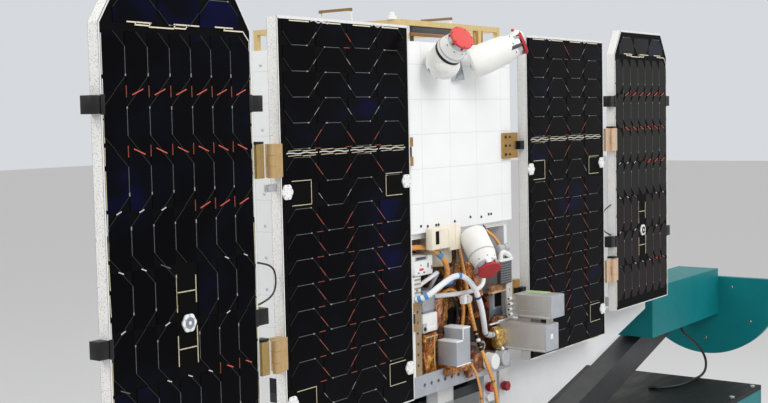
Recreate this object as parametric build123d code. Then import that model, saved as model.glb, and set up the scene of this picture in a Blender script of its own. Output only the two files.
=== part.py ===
from build123d import *
from math import cos, pi, radians, sin, tan
import os

# A small satellite with two solar wings of two panels each, held on its turn-over stand.
# Everything is drawn from the body's own point of reference: X = 0 at the body's middle,
# Y = 0 at the front of the opened panels, Z = 0 at the body's underside. PLACE then puts
# the whole on the floor, centred on its own footprint.

# Body
BODY_W = 356.0
BODY_D = 400.0
BODY_H = 657.0
SKIN = 12.0
RECESS = 20.0
BAY_TOP = 305.0
BAY_DEPTH = 130.0
BAY_WALL_T = 6.0
FLANGE_H = 40.0
FLANGE_T = 4.0
FLANGE_HOLE_R = 4.0
FLANGE_HOLES = 7
FLANGE_PITCH = 23.0
FLANGE_FIRST_IN = 31.0
POST_W = 24.0
POST_T = 3.0
POST_TOP = 225.0
POST_HOLE_R = 3.0
POST_HOLES = 8
POST_PITCH = 20.0

# Boxes in the bay, each from the left inner face, the body's front and the bottom deck:
# node, from and to along X, Y and Z
LEFT_BOXES = (
    ("amber_bundles", 38.0, 81.0, 10.0, 100.0, 0.0, 100.0),
    ("white_boxes", 40.0, 89.0, 16.0, 80.0, 100.0, 136.0),
    ("bay_boxes", 40.0, 89.0, 20.0, 90.0, 136.0, 180.0),
    ("amber_bundles", 104.0, 134.0, 30.0, 90.0, 0.0, 158.0),
)
# The same, from the right inner face inwards
RIGHT_BOXES = (
    ("amber_bundles", 0.0, 46.0, 3.0, 50.0, 0.0, 86.0),
    ("bay_boxes", 0.0, 48.0, 18.0, 100.0, 86.0, 146.0),
)
BIG_BOX_LEFT = 140.0
BIG_BOX_RIGHT = 70.0
BIG_BOX_Y = 55.0
BIG_BOX_H = 178.0
LABEL_BOX_W = 58.0
LABEL_BOX_D = 77.0
LABEL_BOX_H = 37.0
LABEL_BOX_DROP = 43.0
CREAM_X = -135.0
CREAM_W = 67.0
CREAM_T = 15.0
CREAM_H = 40.0
CREAM_LAP = 7.0
CREAM_PLATE_W = 38.0
CREAM_PLATE_H = 57.0
CREAM_PLATE_T = 10.0
TRAY_IN = 84.0
TRAY_W = 62.0
TRAY_D = 56.0
TRAY_T = 6.0
COVER_BOX_W = 48.0
COVER_BOX_D = 43.0
COVER_BOX_H = 48.0
COVER_BOX_STEP = 22.0
COVER_BOX_TOP = 23.0
BAR_L = 74.0
BAR_H = 16.0
BAR_Z = 159.0
HOUSING_OUT = 112.0
HOUSING_W = 54.0
HOUSING_H = 54.0
HOUSING_Z = 48.0
HOUSING_GAP = 9.0
UPPER_HOUSING_W = 58.0
UPPER_HOUSING_H = 46.0
UPPER_HOUSING_SHIFT = 22.0
UPPER_HOUSING_BACK = 25.0
PLUG_R = 13.0
PLUG_L = 27.0
PLUG_Y = -8.0
PLUG_UP = 32.0
CAP_R = 17.5
CAP_T = 20.0
CAP_FRONT = 28.0
CAP_UP = 18.5
CAP_INS = (103.0, 62.0)
TUBE_R = 13.0

# Frame on the top deck, with its lifting handles
BAR = 10.0
FRAME_LIFT = 31.0
FRAME_INSET = 2.0
FRAME_FRONT = 21.0
FRAME_POSTS = (0.0, 0.79, 1.0)
HANDLE_FROM = 134.0
HANDLE_L = 78.0
HANDLE_LEG = 23.0
HANDLE_BAR = 5.0
CORNER_POST_Y = 40.0
CORNER_POST_H = 14.0

# Solar panels
PANEL_T = 20.0
BODY_GAP = 31.5
INNER_W = 351.0
INNER_H = 674.0
INNER_Z = 7.0
WING_GAP = 60.0
OUTER_W = 295.0
OUTER_H = 659.0
OUTER_Z = 52.0
CHAMFER_W = 35.0
CHAMFER_H = 56.0
EAR_W = 18.0
INNER_EAR_W = 24.0
EAR_H = 25.0
EAR_T = 8.0
EAR_ZS = (205.0, 533.0)
CUP_R = 13.0
OUTER_CUP_R = 14.0
CUP_PROUD = 4.0
CUP_INSET = 14.0
CUP_ZS = (69.0, 406.0)
OUTER_CUP_Z = 232.0

# Hinges
HINGE_H = 52.0
HINGE_ZS = (127.0, 431.0)
BARREL_R = 7.0
PIN_R = 3.0
PIN_CLEAR = 0.3
KNUCKLE_GAP = 0.4
KNUCKLE_RELIEF = 2.0
BODY_AXIS_OUT = 16.0
WING_AXIS_Y = -9.0
LEAF_W = 37.0
LEAF_T = 6.0
BRACKET_T = 14.0
BLOCK_W = 20.0
BLOCK_FRONT = -6.0
BLOCK_T = 20.0
ARM_T = 4.0

# Star trackers: name, the height that it is measured from, where the can starts and where
# its cover lies from the body's middle and front, can radius and mouth radius
TRACKERS = (
    ("left", BODY_H, (-123.0, -26.0, -41.0), (-143.0, -90.0, 0.0), 27.0, 20.0),
    ("right", BODY_H, (-4.0, -39.0, -34.0), (45.0, -104.0, -1.0), 27.0, 20.0),
    ("lower", BAY_TOP, (-8.0, -20.0, -11.0), (-33.0, -73.0, -75.0), 27.0, 20.0),
)
COVER_R = 23.5
COVER_T = 6.0
CRADLE_CLEAR = 0.2
# Their cradles: tracker, the height that it is measured from, from and to along X, Y and Z
CRADLES = (
    ("left", BODY_H, (-158.0, -72.0, -32.0, 0.0, -69.0, -3.0)),
    ("right", BODY_H, (-5.0, 50.0, -32.0, 0.0, -62.0, -4.0)),
    ("lower", BAY_TOP - SKIN, (-24.0, 20.0, -16.0, 50.0, -30.0, 0.0)),
)
SENSOR_X = -25.0
SENSOR_W = 34.0
SENSOR_H = 39.0
SENSOR_T = 18.0
SENSOR_DROP = 69.0

# Stand
LEVEL = 878.0
STAND_FRONT = 60.0
STAND_D = 120.0
PLATE_T = 12.0
ARM_OUT = 8.0
ARM_STEP = 14.5
ARM_RISE = 65.0
ARM_LAP = 52.0
ARM_SHORT = 45.0
ARM_CROSS_W = 24.0
ARM_CROSS_H = 25.0
ARM_NECK_IN = 36.0
ARM_LOW_Z = -183.0
ARM_TOP_Z = -2.0
ARM_TIP_Z = 40.0
ADAPTER_T = 30.0
ADAPTER_SET_BACK = 40.0
ADAPTER_REAR = 40.0
TABLE_T = 20.0
CLAMP_W = 50.0
CLAMP_H = 70.0
CLAMP_GAP = 11.0
CLAMP_TOP = -5.0
KNOB_R = 10.0
KNOB_T = 9.0
KNOB_STEM_R = 4.0
KNOB_STEM_T = 5.0
KNOB_ZS = (-41.0, -50.0)
KNOB_INSET = 10.0
BEAM_CLEAR = 24.5
BEAM_L = 457.0
BEAM_LOW = -71.0
BEAM_TOP = 61.0
BEAM_WALL = 8.0
DISC_R = 228.0
DISC_T = 20.0
DISC_Y = 100.0
DISC_TOP = 37.0
DISC_HOLE_R = 5.0
# Holes in the head plate, by their distance from its centre and their angles from the rear
DISC_RING_R = 183.0
DISC_RING_ANGLES = (-43.0, -90.0, -137.0)
DISC_INNER_R = 84.0
DISC_INNER_ANGLE = -160.0
BRACE_W = 250.0
BRACE_T = 60.0
BRACE_LEAN = 531.0
BRACE_END_IN = 105.0
DECK_OUT = 152.0
DECK_L = 1565.0
DECK_FRONT = -130.0
DECK_D = 700.0
DECK_Z = -226.0
DECK_T = 12.0
RAIL_H = 90.0
RAIL_T = 50.0
LEG = 60.0
FOOT_R = 45.0
FOOT_H = 18.0

# Cords: name, radius, points along the route from the body's reference
CORDS = (
    (
        "white_harness_1",
        5.5,
        (
            (-172, 18, 184), (-168, -2, 189), (-140, -10, 206), (-70, -8, 224), (-30, -15, 200),
            (-6, -18, 156), (14, -12, 112), (46, 6, 84), (83.8, 12, 80),
        ),
    ),
    (
        "white_harness_2",
        4.5,
        ((-73.2, 62, 174), (-50, 32, 176), (-14, 8, 178), (30, 4, 182), (62, 16, 196), (80, 38, 236), (84, 52, 291.6)),
    ),
    (
        "white_harness_3",
        4.0,
        ((-162.3, 80, 172), (-140, 50, 196), (-110, 30, 216), (-78, 30, 226), (-58, 56, 206), (-50, 80, 172.8)),
    ),
    (
        "amber_harness_1",
        5.0,
        ((-164.6, 42, 277), (-122, 34, 278), (-92, 22, 264), (-70, 16, 238), (-56, 26, 206), (-50, 62, 174.2)),
    ),
    (
        "amber_harness_2",
        4.0,
        (
            (32, 64, 291.7), (30, 50, 240), (25, 36, 190), (22, 26, 140), (14, 8, 96), (10, -8, 60), (20, -20, 20),
            (36, -24, -24), (50, -16, -70), (56, 4, -116), (50, 26, -160), (36, 60, -202), (18, 104, -221.8),
            (0, 152, -221.8),
        ),
    ),
    (
        "amber_harness_3",
        2.5,
        (
            (-18.2, 8, 43), (-6, 3, 34), (-1, -5, 8), (4, -9, -26), (10, -6, -64), (12, 4, -104), (8, 22, -146),
            (-2, 50, -186), (-18, 88, -214), (-38, 130, -223.2), (-64, 172, -223.2),
        ),
    ),
    (
        "stand_cable",
        3.5,
        (
            (1204, 88, -71.9), (1208, 86, -94), (1238, 74, -114), (1272, 60, -144), (1296, 50, -180), (1282, 44, -210),
            (1240, 42, -222.2), (1190, 46, -222.2), (1140, 43, -222.2), (1092, 48, -222.2), (1050, 74, -222.2),
            (1036, 108, -222.2),
        ),
    ),
)

# The whole footprint runs from the left panel's ear to the stand's disc
half = BODY_W / 2
inside = half - SKIN
front = RECESS
back = RECESS + BODY_D
inner_x = half + BODY_GAP
inner_end = inner_x + INNER_W
outer_x = inner_end + WING_GAP
outer_end = outer_x + OUTER_W
wing_end = outer_end + EAR_W
body_axis_x = half + BODY_AXIS_OUT
body_axis_y = front
wing_axis_x = inner_end + WING_GAP / 2
beam_left = wing_end + BEAM_CLEAR
beam_right = beam_left + BEAM_L
deck_left = -half - DECK_OUT
deck_right = deck_left + DECK_L
deck_rear = DECK_FRONT + DECK_D
PLACE = Pos((wing_end - beam_right - DISC_T) / 2, -(DECK_FRONT + deck_rear) / 2, LEVEL)

nodes = {}


def block(x0, x1, y0, y1, z0, z1):
    """A box between two corners."""
    return Pos((x0 + x1) / 2, (y0 + y1) / 2, (z0 + z1) / 2) * Box(abs(x1 - x0), y1 - y0, z1 - z0)


def upright(x, y, z0, z1, radius):
    """A standing cylinder."""
    return Pos(x, y, (z0 + z1) / 2) * Cylinder(radius, z1 - z0)


def frontward(x, y0, y1, z, radius):
    """A cylinder that lies along Y."""
    return Pos(x, (y0 + y1) / 2, z) * Rot(90, 0, 0) * Cylinder(radius, y1 - y0)


def along_x(x0, x1, y, z, radius):
    """A cylinder that lies along X."""
    return Pos((x0 + x1) / 2, y, z) * Rot(0, 90, 0) * Cylinder(radius, x1 - x0)


def side(shape, hand):
    """The shape as drawn for the right wing, or its mirror for the left one."""
    return shape if hand > 0 else mirror(shape, Plane.YZ)


def add(name, *shapes):
    """Puts separate solids into one node."""
    whole = shapes[0] if len(shapes) == 1 else Compound(children=list(shapes))
    nodes[name] = PLACE * whole


# Body shell: four sides and three decks, the front open below the white panel
add("front_panel", block(-half, half, front, front + SKIN, BAY_TOP, BODY_H))
add("rear_panel", block(-half, half, back - SKIN, back, 0, BODY_H))
sides = [block(hand * inside, hand * half, front + SKIN, back - SKIN, 0, BODY_H) for hand in (-1, 1)]
add("side_panels", *sides)
add("top_deck", block(-inside, inside, front + SKIN, back - SKIN, BODY_H - SKIN, BODY_H))
add("mid_deck", block(-inside, inside, front + SKIN, back - SKIN, BAY_TOP - SKIN, BAY_TOP))
cap_xs = [inside - cap_in for cap_in in CAP_INS]
bottom = block(-inside, inside, front, back - SKIN, 0, SKIN)
flange = block(-half, cap_xs[0] - CAP_R - 8, front, front + FLANGE_T, 0, FLANGE_H)
for index in range(FLANGE_HOLES):
    hole_x = -half + FLANGE_FIRST_IN + index * FLANGE_PITCH
    flange -= frontward(hole_x, front - 1, front + FLANGE_T + 1, FLANGE_H / 2, FLANGE_HOLE_R)
    bottom -= frontward(hole_x, front - 1, front + FLANGE_T + 1, FLANGE_H / 2, FLANGE_HOLE_R)
add("bottom_deck", bottom + flange)
posts = []
for hand in (-1, 1):
    post = block(hand * half, hand * (half - POST_W), front, front + POST_T, FLANGE_H, POST_TOP)
    post += block(hand * half, hand * (half - POST_T), front, front + SKIN, FLANGE_H, POST_TOP)
    for index in range(POST_HOLES):
        hole_z = FLANGE_H + POST_PITCH * (index + 1)
        hole_x = hand * (half - POST_W / 2)
        post -= frontward(hole_x, front - 1, front + POST_T + 1, hole_z, POST_HOLE_R)
    posts.append(post)
add("bay_posts", *posts)

# Equipment in the bay
wall_y = front + BAY_DEPTH
add("bay_back_wall", block(-inside, inside, wall_y, wall_y + BAY_WALL_T, SKIN, BAY_TOP - SKIN))
bay = {"amber_bundles": [], "white_boxes": [], "bay_boxes": []}
for name, x0, x1, y0, y1, z0, z1 in LEFT_BOXES:
    bay[name].append(block(-inside + x0, -inside + x1, front + y0, front + y1, SKIN + z0, SKIN + z1))
for name, x0, x1, y0, y1, z0, z1 in RIGHT_BOXES:
    bay[name].append(block(inside - x1, inside - x0, front + y0, front + y1, SKIN + z0, SKIN + z1))
big_x0 = -inside + BIG_BOX_LEFT
big_x1 = inside - BIG_BOX_RIGHT
big_y = front + BIG_BOX_Y
bay["amber_bundles"].append(block(big_x0, big_x1, big_y, wall_y, SKIN, SKIN + BIG_BOX_H))
label_z = BAY_TOP - LABEL_BOX_DROP
label_y = front + POST_T
label_box = block(
    -inside, -inside + LABEL_BOX_W, label_y, label_y + LABEL_BOX_D, label_z - LABEL_BOX_H, label_z
)
bay["white_boxes"].append(label_box)
tray_x = -inside + TRAY_IN
tray_y = front - TRAY_D / 2
tray_top = FLANGE_H + TRAY_T
tray = block(tray_x, tray_x + TRAY_W, tray_y, tray_y + TRAY_D, FLANGE_H, tray_top)
tray += block(tray_x, tray_x + COVER_BOX_W, front + FLANGE_T + 2, tray_y + TRAY_D, SKIN, FLANGE_H)
bay["amber_bundles"].append(tray)
for name, boxes in bay.items():
    add(name, *boxes)
cover_y = tray_y - 2
cover_z = tray_top + COVER_BOX_H
cover_box = block(tray_x, tray_x + COVER_BOX_W, cover_y, cover_y + COVER_BOX_D, tray_top, cover_z)
cover_box += block(
    tray_x + COVER_BOX_STEP,
    tray_x + COVER_BOX_W,
    cover_y,
    cover_y + COVER_BOX_D,
    cover_z,
    cover_z + COVER_BOX_TOP,
)
add("cover_box", cover_box)
bar_y = front + POST_T
add("bay_bar", block(half - POST_T - BAR_L, half - POST_T, bar_y, front + SKIN, BAR_Z, BAR_Z + BAR_H))

# Two housings that stand out of the bay, one above the other, with a plug on the lower one
house_x = inside - HOUSING_W
house_top = HOUSING_Z + HOUSING_H
house_y = front - HOUSING_OUT
housings = block(house_x, inside, house_y, front, HOUSING_Z, house_top)
upper_x = house_x + UPPER_HOUSING_SHIFT
upper_y = front - UPPER_HOUSING_BACK
upper_z = house_top + HOUSING_GAP
housings += block(upper_x, inside, house_y + HOUSING_GAP, upper_y - HOUSING_GAP, house_top, upper_z)
housings += block(
    upper_x, upper_x + UPPER_HOUSING_W, house_y, upper_y, upper_z, upper_z + UPPER_HOUSING_H
)
add("valve_housings", housings)
plug_z = HOUSING_Z + PLUG_UP
plug_y = front + PLUG_Y
plug_front = house_x - PLUG_L
add("gold_plug", along_x(plug_front, house_x, plug_y, plug_z, PLUG_R))
caps = []
for cap_x in cap_xs:
    cap_y = front - CAP_FRONT
    cap_z = SKIN + CAP_UP
    cap = frontward(cap_x, cap_y, cap_y + CAP_T, cap_z, CAP_R)
    caps.append(cap + frontward(cap_x, cap_y + CAP_T, big_y, cap_z, TUBE_R))
add("bay_caps", *caps)

# Frame on the top deck, a handle on each of its sides and a post on its front corner
frame_z = BODY_H + FRAME_LIFT
frame_x = half - FRAME_INSET
frame_y0 = front + FRAME_FRONT
frame_y1 = back - FRAME_FRONT
top_frame = block(-frame_x, frame_x, frame_y0, frame_y1, frame_z, frame_z + BAR)
top_frame -= block(
    BAR - frame_x, frame_x - BAR, frame_y0 + BAR, frame_y1 - BAR, frame_z - 1, frame_z + BAR + 1
)
for share in FRAME_POSTS:
    post_x = -frame_x + share * (2 * frame_x - BAR)
    for post_y in (frame_y0, frame_y1 - BAR):
        top_frame += block(post_x, post_x + BAR, post_y, post_y + BAR, BODY_H, frame_z)
add("payload_frame", top_frame)
handles = []
frame_top = frame_z + BAR
handle_y0 = front + HANDLE_FROM
handle_y1 = handle_y0 + HANDLE_L
for hand in (-1, 1):
    handle_x = hand * (frame_x - BAR / 2)
    x0 = handle_x - HANDLE_BAR / 2
    x1 = handle_x + HANDLE_BAR / 2
    handle = block(x0, x1, handle_y0, handle_y1, frame_top + HANDLE_LEG, frame_top + HANDLE_LEG + HANDLE_BAR)
    for leg_y in (handle_y0, handle_y1 - HANDLE_BAR):
        handle += block(x0, x1, leg_y, leg_y + HANDLE_BAR, frame_top, frame_top + HANDLE_LEG)
    handles.append(handle)
add("lifting_handles", *handles)
corner_y = frame_y0 + CORNER_POST_Y / 2
corner_x = BAR / 2 - frame_x
add("corner_post", upright(corner_x, corner_y, frame_top, frame_top + CORNER_POST_H, BAR / 2))

# Solar wings, as drawn on the right and mirrored on the left
body_leaves = []
for hand, wing in ((1, "right"), (-1, "left")):
    inner = block(inner_x, inner_end, 0, PANEL_T, INNER_Z, INNER_Z + INNER_H)
    add(wing + "_inner_panel", side(inner, hand))
    z0 = OUTER_Z
    z1 = OUTER_Z + OUTER_H
    outline = Polyline(
        (outer_x, z0),
        (outer_end, z0),
        (outer_end, z1 - CHAMFER_H),
        (outer_end - CHAMFER_W, z1),
        (outer_x + CHAMFER_W, z1),
        (outer_x, z1 - CHAMFER_H),
        close=True,
    )
    outer = extrude(Plane.XZ * make_face(outline), amount=-PANEL_T)
    add(wing + "_outer_panel", side(outer, hand))
    fittings = []
    ear_y = (PANEL_T - EAR_T) / 2
    for ear_z in EAR_ZS:
        for ear_x, ear_end in ((outer_x - INNER_EAR_W, outer_x), (outer_end, wing_end)):
            ear = block(ear_x, ear_end, ear_y, ear_y + EAR_T, ear_z, ear_z + EAR_H)
            fittings.append(side(ear, hand))
    outer_cup = frontward(outer_x + OUTER_W / 2, -CUP_PROUD, 0, OUTER_CUP_Z, OUTER_CUP_R)
    fittings.append(side(outer_cup, hand))
    add(wing + "_outer_fittings", *fittings)
    cups = []
    for cup_z in CUP_ZS:
        for cup_x in (inner_x + CUP_INSET, inner_end - CUP_INSET):
            cups.append(side(frontward(cup_x, -CUP_PROUD, 0, cup_z, CUP_R), hand))
    add(wing + "_inner_hold_downs", *cups)

    root_brackets = []
    inner_blocks = []
    outer_blocks = []
    third = HINGE_H / 3
    block_back = BLOCK_FRONT + BLOCK_T
    for hinge_z in HINGE_ZS:
        top = hinge_z + HINGE_H
        low_end = hinge_z + third - KNUCKLE_GAP
        high_start = top - third + KNUCKLE_GAP
        # Body hinge: gold leaf on the body, black bracket on the panel's edge. The right
        # wing's upper leaf lies on the body's front, the others on its sides
        if hand > 0 and hinge_z == HINGE_ZS[-1]:
            leaf = block(half - LEAF_W, body_axis_x, front - LEAF_T, front, hinge_z, top)
            leaf -= upright(
                body_axis_x, body_axis_y, hinge_z + third, top - third, BARREL_R + KNUCKLE_RELIEF
            )
        else:
            leaf = block(half, half + LEAF_T, front, front + LEAF_W, hinge_z, top)
            for low, high in ((hinge_z, low_end), (high_start, top)):
                leaf += block(half, body_axis_x, front - LEAF_T, front + LEAF_T, low, high)
        leaf += upright(body_axis_x, body_axis_y, hinge_z, low_end, BARREL_R)
        leaf += upright(body_axis_x, body_axis_y, high_start, top, BARREL_R)
        leaf += upright(body_axis_x, body_axis_y, hinge_z, top, PIN_R)
        body_leaves.append(side(leaf, hand))
        z_low = hinge_z + third
        z_high = top - third
        knuckle = upright(body_axis_x, body_axis_y, z_low, z_high, BARREL_R)
        knuckle += block(body_axis_x, inner_x, PANEL_T - BRACKET_T, PANEL_T, z_low, z_high)
        knuckle -= upright(body_axis_x, body_axis_y, hinge_z, top, PIN_R + PIN_CLEAR)
        root_brackets.append(side(knuckle, hand))
        # Hinge between the panels, its pin in front of the cells so that they fold face to face
        held = block(inner_end, inner_end + BLOCK_W, BLOCK_FRONT, block_back, hinge_z, top)
        swung = block(outer_x - BLOCK_W, outer_x, BLOCK_FRONT, block_back, hinge_z, top)
        arm_back = BLOCK_FRONT + ARM_T
        for low, high in ((hinge_z, low_end), (high_start, top)):
            held += block(inner_end, wing_axis_x, BLOCK_FRONT, arm_back, low, high)
            held += upright(wing_axis_x, WING_AXIS_Y, low, high, BARREL_R)
        held += upright(wing_axis_x, WING_AXIS_Y, hinge_z, top, PIN_R)
        swung += block(wing_axis_x, outer_x, BLOCK_FRONT, arm_back, z_low, z_high)
        swung += upright(wing_axis_x, WING_AXIS_Y, z_low, z_high, BARREL_R)
        swung -= upright(wing_axis_x, WING_AXIS_Y, hinge_z, top, PIN_R + PIN_CLEAR)
        inner_blocks.append(side(held, hand))
        outer_blocks.append(side(swung, hand))
    add(wing + "_root_brackets", *root_brackets)
    add(wing + "_inner_hinge_blocks", *inner_blocks)
    add(wing + "_outer_hinge_blocks", *outer_blocks)
add("body_hinge_leaves", *body_leaves)

# Star trackers: a can, a narrower mouth and a flat dust cover square to its axis
cradles = {}
for name, level, (x0, x1, y0, y1, z0, z1) in CRADLES:
    cradles[name] = block(x0, x1, front + y0, front + y1, level + z0, level + z1)
cream_top = BAY_TOP + CREAM_LAP
cream = block(CREAM_X, CREAM_X + CREAM_W, front - CREAM_T, front, cream_top - CREAM_H, cream_top)
plate_x = CREAM_X + CREAM_W
cream += block(
    plate_x,
    plate_x + CREAM_PLATE_W,
    front - CREAM_PLATE_T,
    front,
    cream_top - CREAM_PLATE_H,
    cream_top,
)
covers = []
for name, level, start, end, can_r, mouth_r in TRACKERS:
    lift = Vector(0, front, level)
    begin = Vector(*start) + lift
    axis = Vector(*end) - Vector(*start)
    length = axis.length
    plane = Plane(origin=begin, z_dir=axis)
    can = plane * Pos(0, 0, length * 0.3) * Cylinder(can_r, length * 0.6)
    can += plane * Pos(0, 0, length * 0.75) * Cone(can_r, mouth_r, length * 0.3)
    can += plane * Pos(0, 0, length * 0.95) * Cylinder(mouth_r, length * 0.1)
    seat = plane * Pos(0, 0, (length - CRADLE_CLEAR) / 2)
    seat *= Cylinder(can_r + CRADLE_CLEAR, length + CRADLE_CLEAR)
    add(name + "_tracker", can)
    covers.append(plane * Pos(0, 0, length + COVER_T / 2) * Cylinder(COVER_R, COVER_T))
    cradles[name] -= seat
    if name == "lower":
        cream -= seat
add("tracker_covers", *covers)
add("tracker_cradles", *cradles.values())
add("cream_box", cream)
sensor_z = BODY_H - SENSOR_DROP
sensor_outline = Polyline(
    (SENSOR_X - SENSOR_W / 2, sensor_z),
    (SENSOR_X + SENSOR_W / 2, sensor_z),
    (SENSOR_X, sensor_z + SENSOR_H),
    close=True,
)
sensor = Pos(0, front - SENSOR_T, 0) * extrude(Plane.XZ * make_face(sensor_outline), amount=-SENSOR_T)
add("sun_sensor", sensor)

# Stand: arm under the satellite, box beam, half-round head plate, brace, deck and legs
stand_rear = STAND_FRONT + STAND_D
arm_left = half + ARM_OUT
arm_step_x = inner_end + ARM_STEP
deck_y1 = back - ADAPTER_REAR
plate_y = STAND_FRONT + ADAPTER_SET_BACK
clamp_right = arm_left - CLAMP_GAP
add("adapter_plate", block(-half, clamp_right - CLAMP_W, plate_y, deck_y1, -ADAPTER_T, 0))
arm_outline = Polyline(
    (arm_left, ARM_TOP_Z),
    (arm_step_x, ARM_TOP_Z),
    (arm_step_x + ARM_RISE, ARM_TIP_Z),
    (beam_left + ARM_LAP, ARM_TIP_Z),
    (arm_left, ARM_LOW_Z),
    close=True,
)
# The front gusset ends short of the beam, the rear one laps the beam's back, and a cross
# piece with a neck joins both to the beam's end
arm = block(arm_left, arm_step_x, STAND_FRONT, stand_rear, ARM_TOP_Z - PLATE_T, ARM_TOP_Z)
gusset = extrude(Plane.XZ * make_face(arm_outline), amount=-PLATE_T)
arm_end = beam_left - ARM_SHORT
arm += Pos(0, STAND_FRONT, 0) * (gusset & block(arm_left, arm_end, 0, PLATE_T, ARM_LOW_Z, ARM_TIP_Z))
arm += Pos(0, stand_rear, 0) * gusset
cross_x = arm_end - ARM_CROSS_W
cross_z = ARM_TIP_Z - ARM_CROSS_H
arm += block(cross_x, arm_end, STAND_FRONT, stand_rear, cross_z, ARM_TIP_Z)
arm += block(cross_x, beam_left, STAND_FRONT + ARM_NECK_IN, stand_rear, cross_z, ARM_TIP_Z)
arm += block(arm_left, arm_left + PLATE_T, STAND_FRONT, stand_rear, ARM_LOW_Z, ARM_TOP_Z)
arm += block(-half, arm_left, STAND_FRONT + PLATE_T, deck_y1, -ADAPTER_T - TABLE_T, -ADAPTER_T)
add("support_arm", arm)
clamp_z0 = CLAMP_TOP - CLAMP_H
clamp_y1 = STAND_FRONT + PLATE_T
add("clamp_plate", block(clamp_right - CLAMP_W, clamp_right, STAND_FRONT, clamp_y1, clamp_z0, CLAMP_TOP))
knobs = []
for knob_x, knob_z in zip((clamp_right - CLAMP_W, arm_left), KNOB_ZS):
    knob_x += KNOB_INSET
    knob_y = STAND_FRONT - KNOB_STEM_T
    knob = frontward(knob_x, knob_y, STAND_FRONT, knob_z, KNOB_STEM_R)
    knobs.append(knob + frontward(knob_x, knob_y - KNOB_T, knob_y, knob_z, KNOB_R))
add("knobs", *knobs)
beam = block(beam_left, beam_right, STAND_FRONT, stand_rear, BEAM_LOW, BEAM_TOP)
beam -= block(
    beam_left + BEAM_WALL,
    beam_right,
    STAND_FRONT + BEAM_WALL,
    stand_rear - BEAM_WALL,
    BEAM_LOW + BEAM_WALL,
    BEAM_TOP - BEAM_WALL,
)
add("box_beam", beam)
disc = along_x(beam_right, beam_right + DISC_T, DISC_Y, DISC_TOP, DISC_R)
disc -= block(
    beam_right - 1, beam_right + DISC_T + 1, DISC_Y - DISC_R, DISC_Y + DISC_R, DISC_TOP, DISC_TOP + DISC_R
)
disc_holes = [(DISC_RING_R, angle) for angle in DISC_RING_ANGLES]
disc_holes.append((DISC_INNER_R, DISC_INNER_ANGLE))
for reach, angle in disc_holes:
    hole_y = DISC_Y + reach * cos(radians(angle))
    hole_z = DISC_TOP + reach * sin(radians(angle))
    disc -= along_x(beam_right - 1, beam_right + DISC_T + 1, hole_y, hole_z, DISC_HOLE_R)
add("head_plate", disc)
brace_end = beam_right - BRACE_END_IN
brace_outline = Polyline(
    (brace_end - BRACE_W - BRACE_LEAN, DECK_Z),
    (brace_end - BRACE_LEAN, DECK_Z),
    (brace_end, BEAM_LOW),
    (brace_end - BRACE_W, BEAM_LOW),
    close=True,
)
brace_y = stand_rear - BRACE_T
add("brace", Pos(0, brace_y, 0) * extrude(Plane.XZ * make_face(brace_outline), amount=-BRACE_T))
frame_top = DECK_Z - DECK_T
rail_low = frame_top - RAIL_H
add("deck_tray", block(deck_left, deck_right, DECK_FRONT, deck_rear, frame_top, DECK_Z))
deck_frame = block(deck_left, deck_right, DECK_FRONT, deck_rear, rail_low, frame_top)
deck_frame -= block(
    deck_left + RAIL_T,
    deck_right - RAIL_T,
    DECK_FRONT + RAIL_T,
    deck_rear - RAIL_T,
    rail_low - 1,
    frame_top + 1,
)
add("deck_frame", deck_frame)
floor = -LEVEL
legs = []
feet = []
for leg_x in (deck_left, deck_right - LEG):
    for leg_y in (DECK_FRONT, deck_rear - LEG):
        legs.append(block(leg_x, leg_x + LEG, leg_y, leg_y + LEG, floor + FOOT_H, rail_low))
        feet.append(upright(leg_x + LEG / 2, leg_y + LEG / 2, floor, floor + FOOT_H, FOOT_R))
add("legs", *legs)
add("feet", *feet)

# Cords: straight runs joined by arcs as large as the runs allow
for name, radius, points in CORDS:
    points = [Vector(*point) for point in points]
    runs = [b - a for a, b in zip(points, points[1:])]
    bends = []
    for run, after in zip(runs, runs[1:]):
        half_turn = radians(run.get_angle(after)) / 2
        bends.append(0.45 * min(run.length, after.length) / tan(half_turn))
    path = FilletPolyline(*points, radius=bends)
    section = Plane(origin=points[0], z_dir=runs[0]) * Circle(radius)
    cord = sweep(section, path=path)
    share = cord.volume / (pi * radius**2 * path.length)
    print(name, "length", round(path.length), "volume share", round(share, 4))
    print("   radii", [round(bend) for bend in bends], "runs", [round(run.length) for run in runs])
    add(name, cord)

os.makedirs("parts", exist_ok=True)
for name, shape in nodes.items():
    shape.label = name
    export_step(shape, f"parts/{name}.step")
print(len(nodes), "nodes")
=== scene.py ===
import bmesh
import bpy
import math
import random
from mathutils import Matrix, Vector, noise


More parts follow.
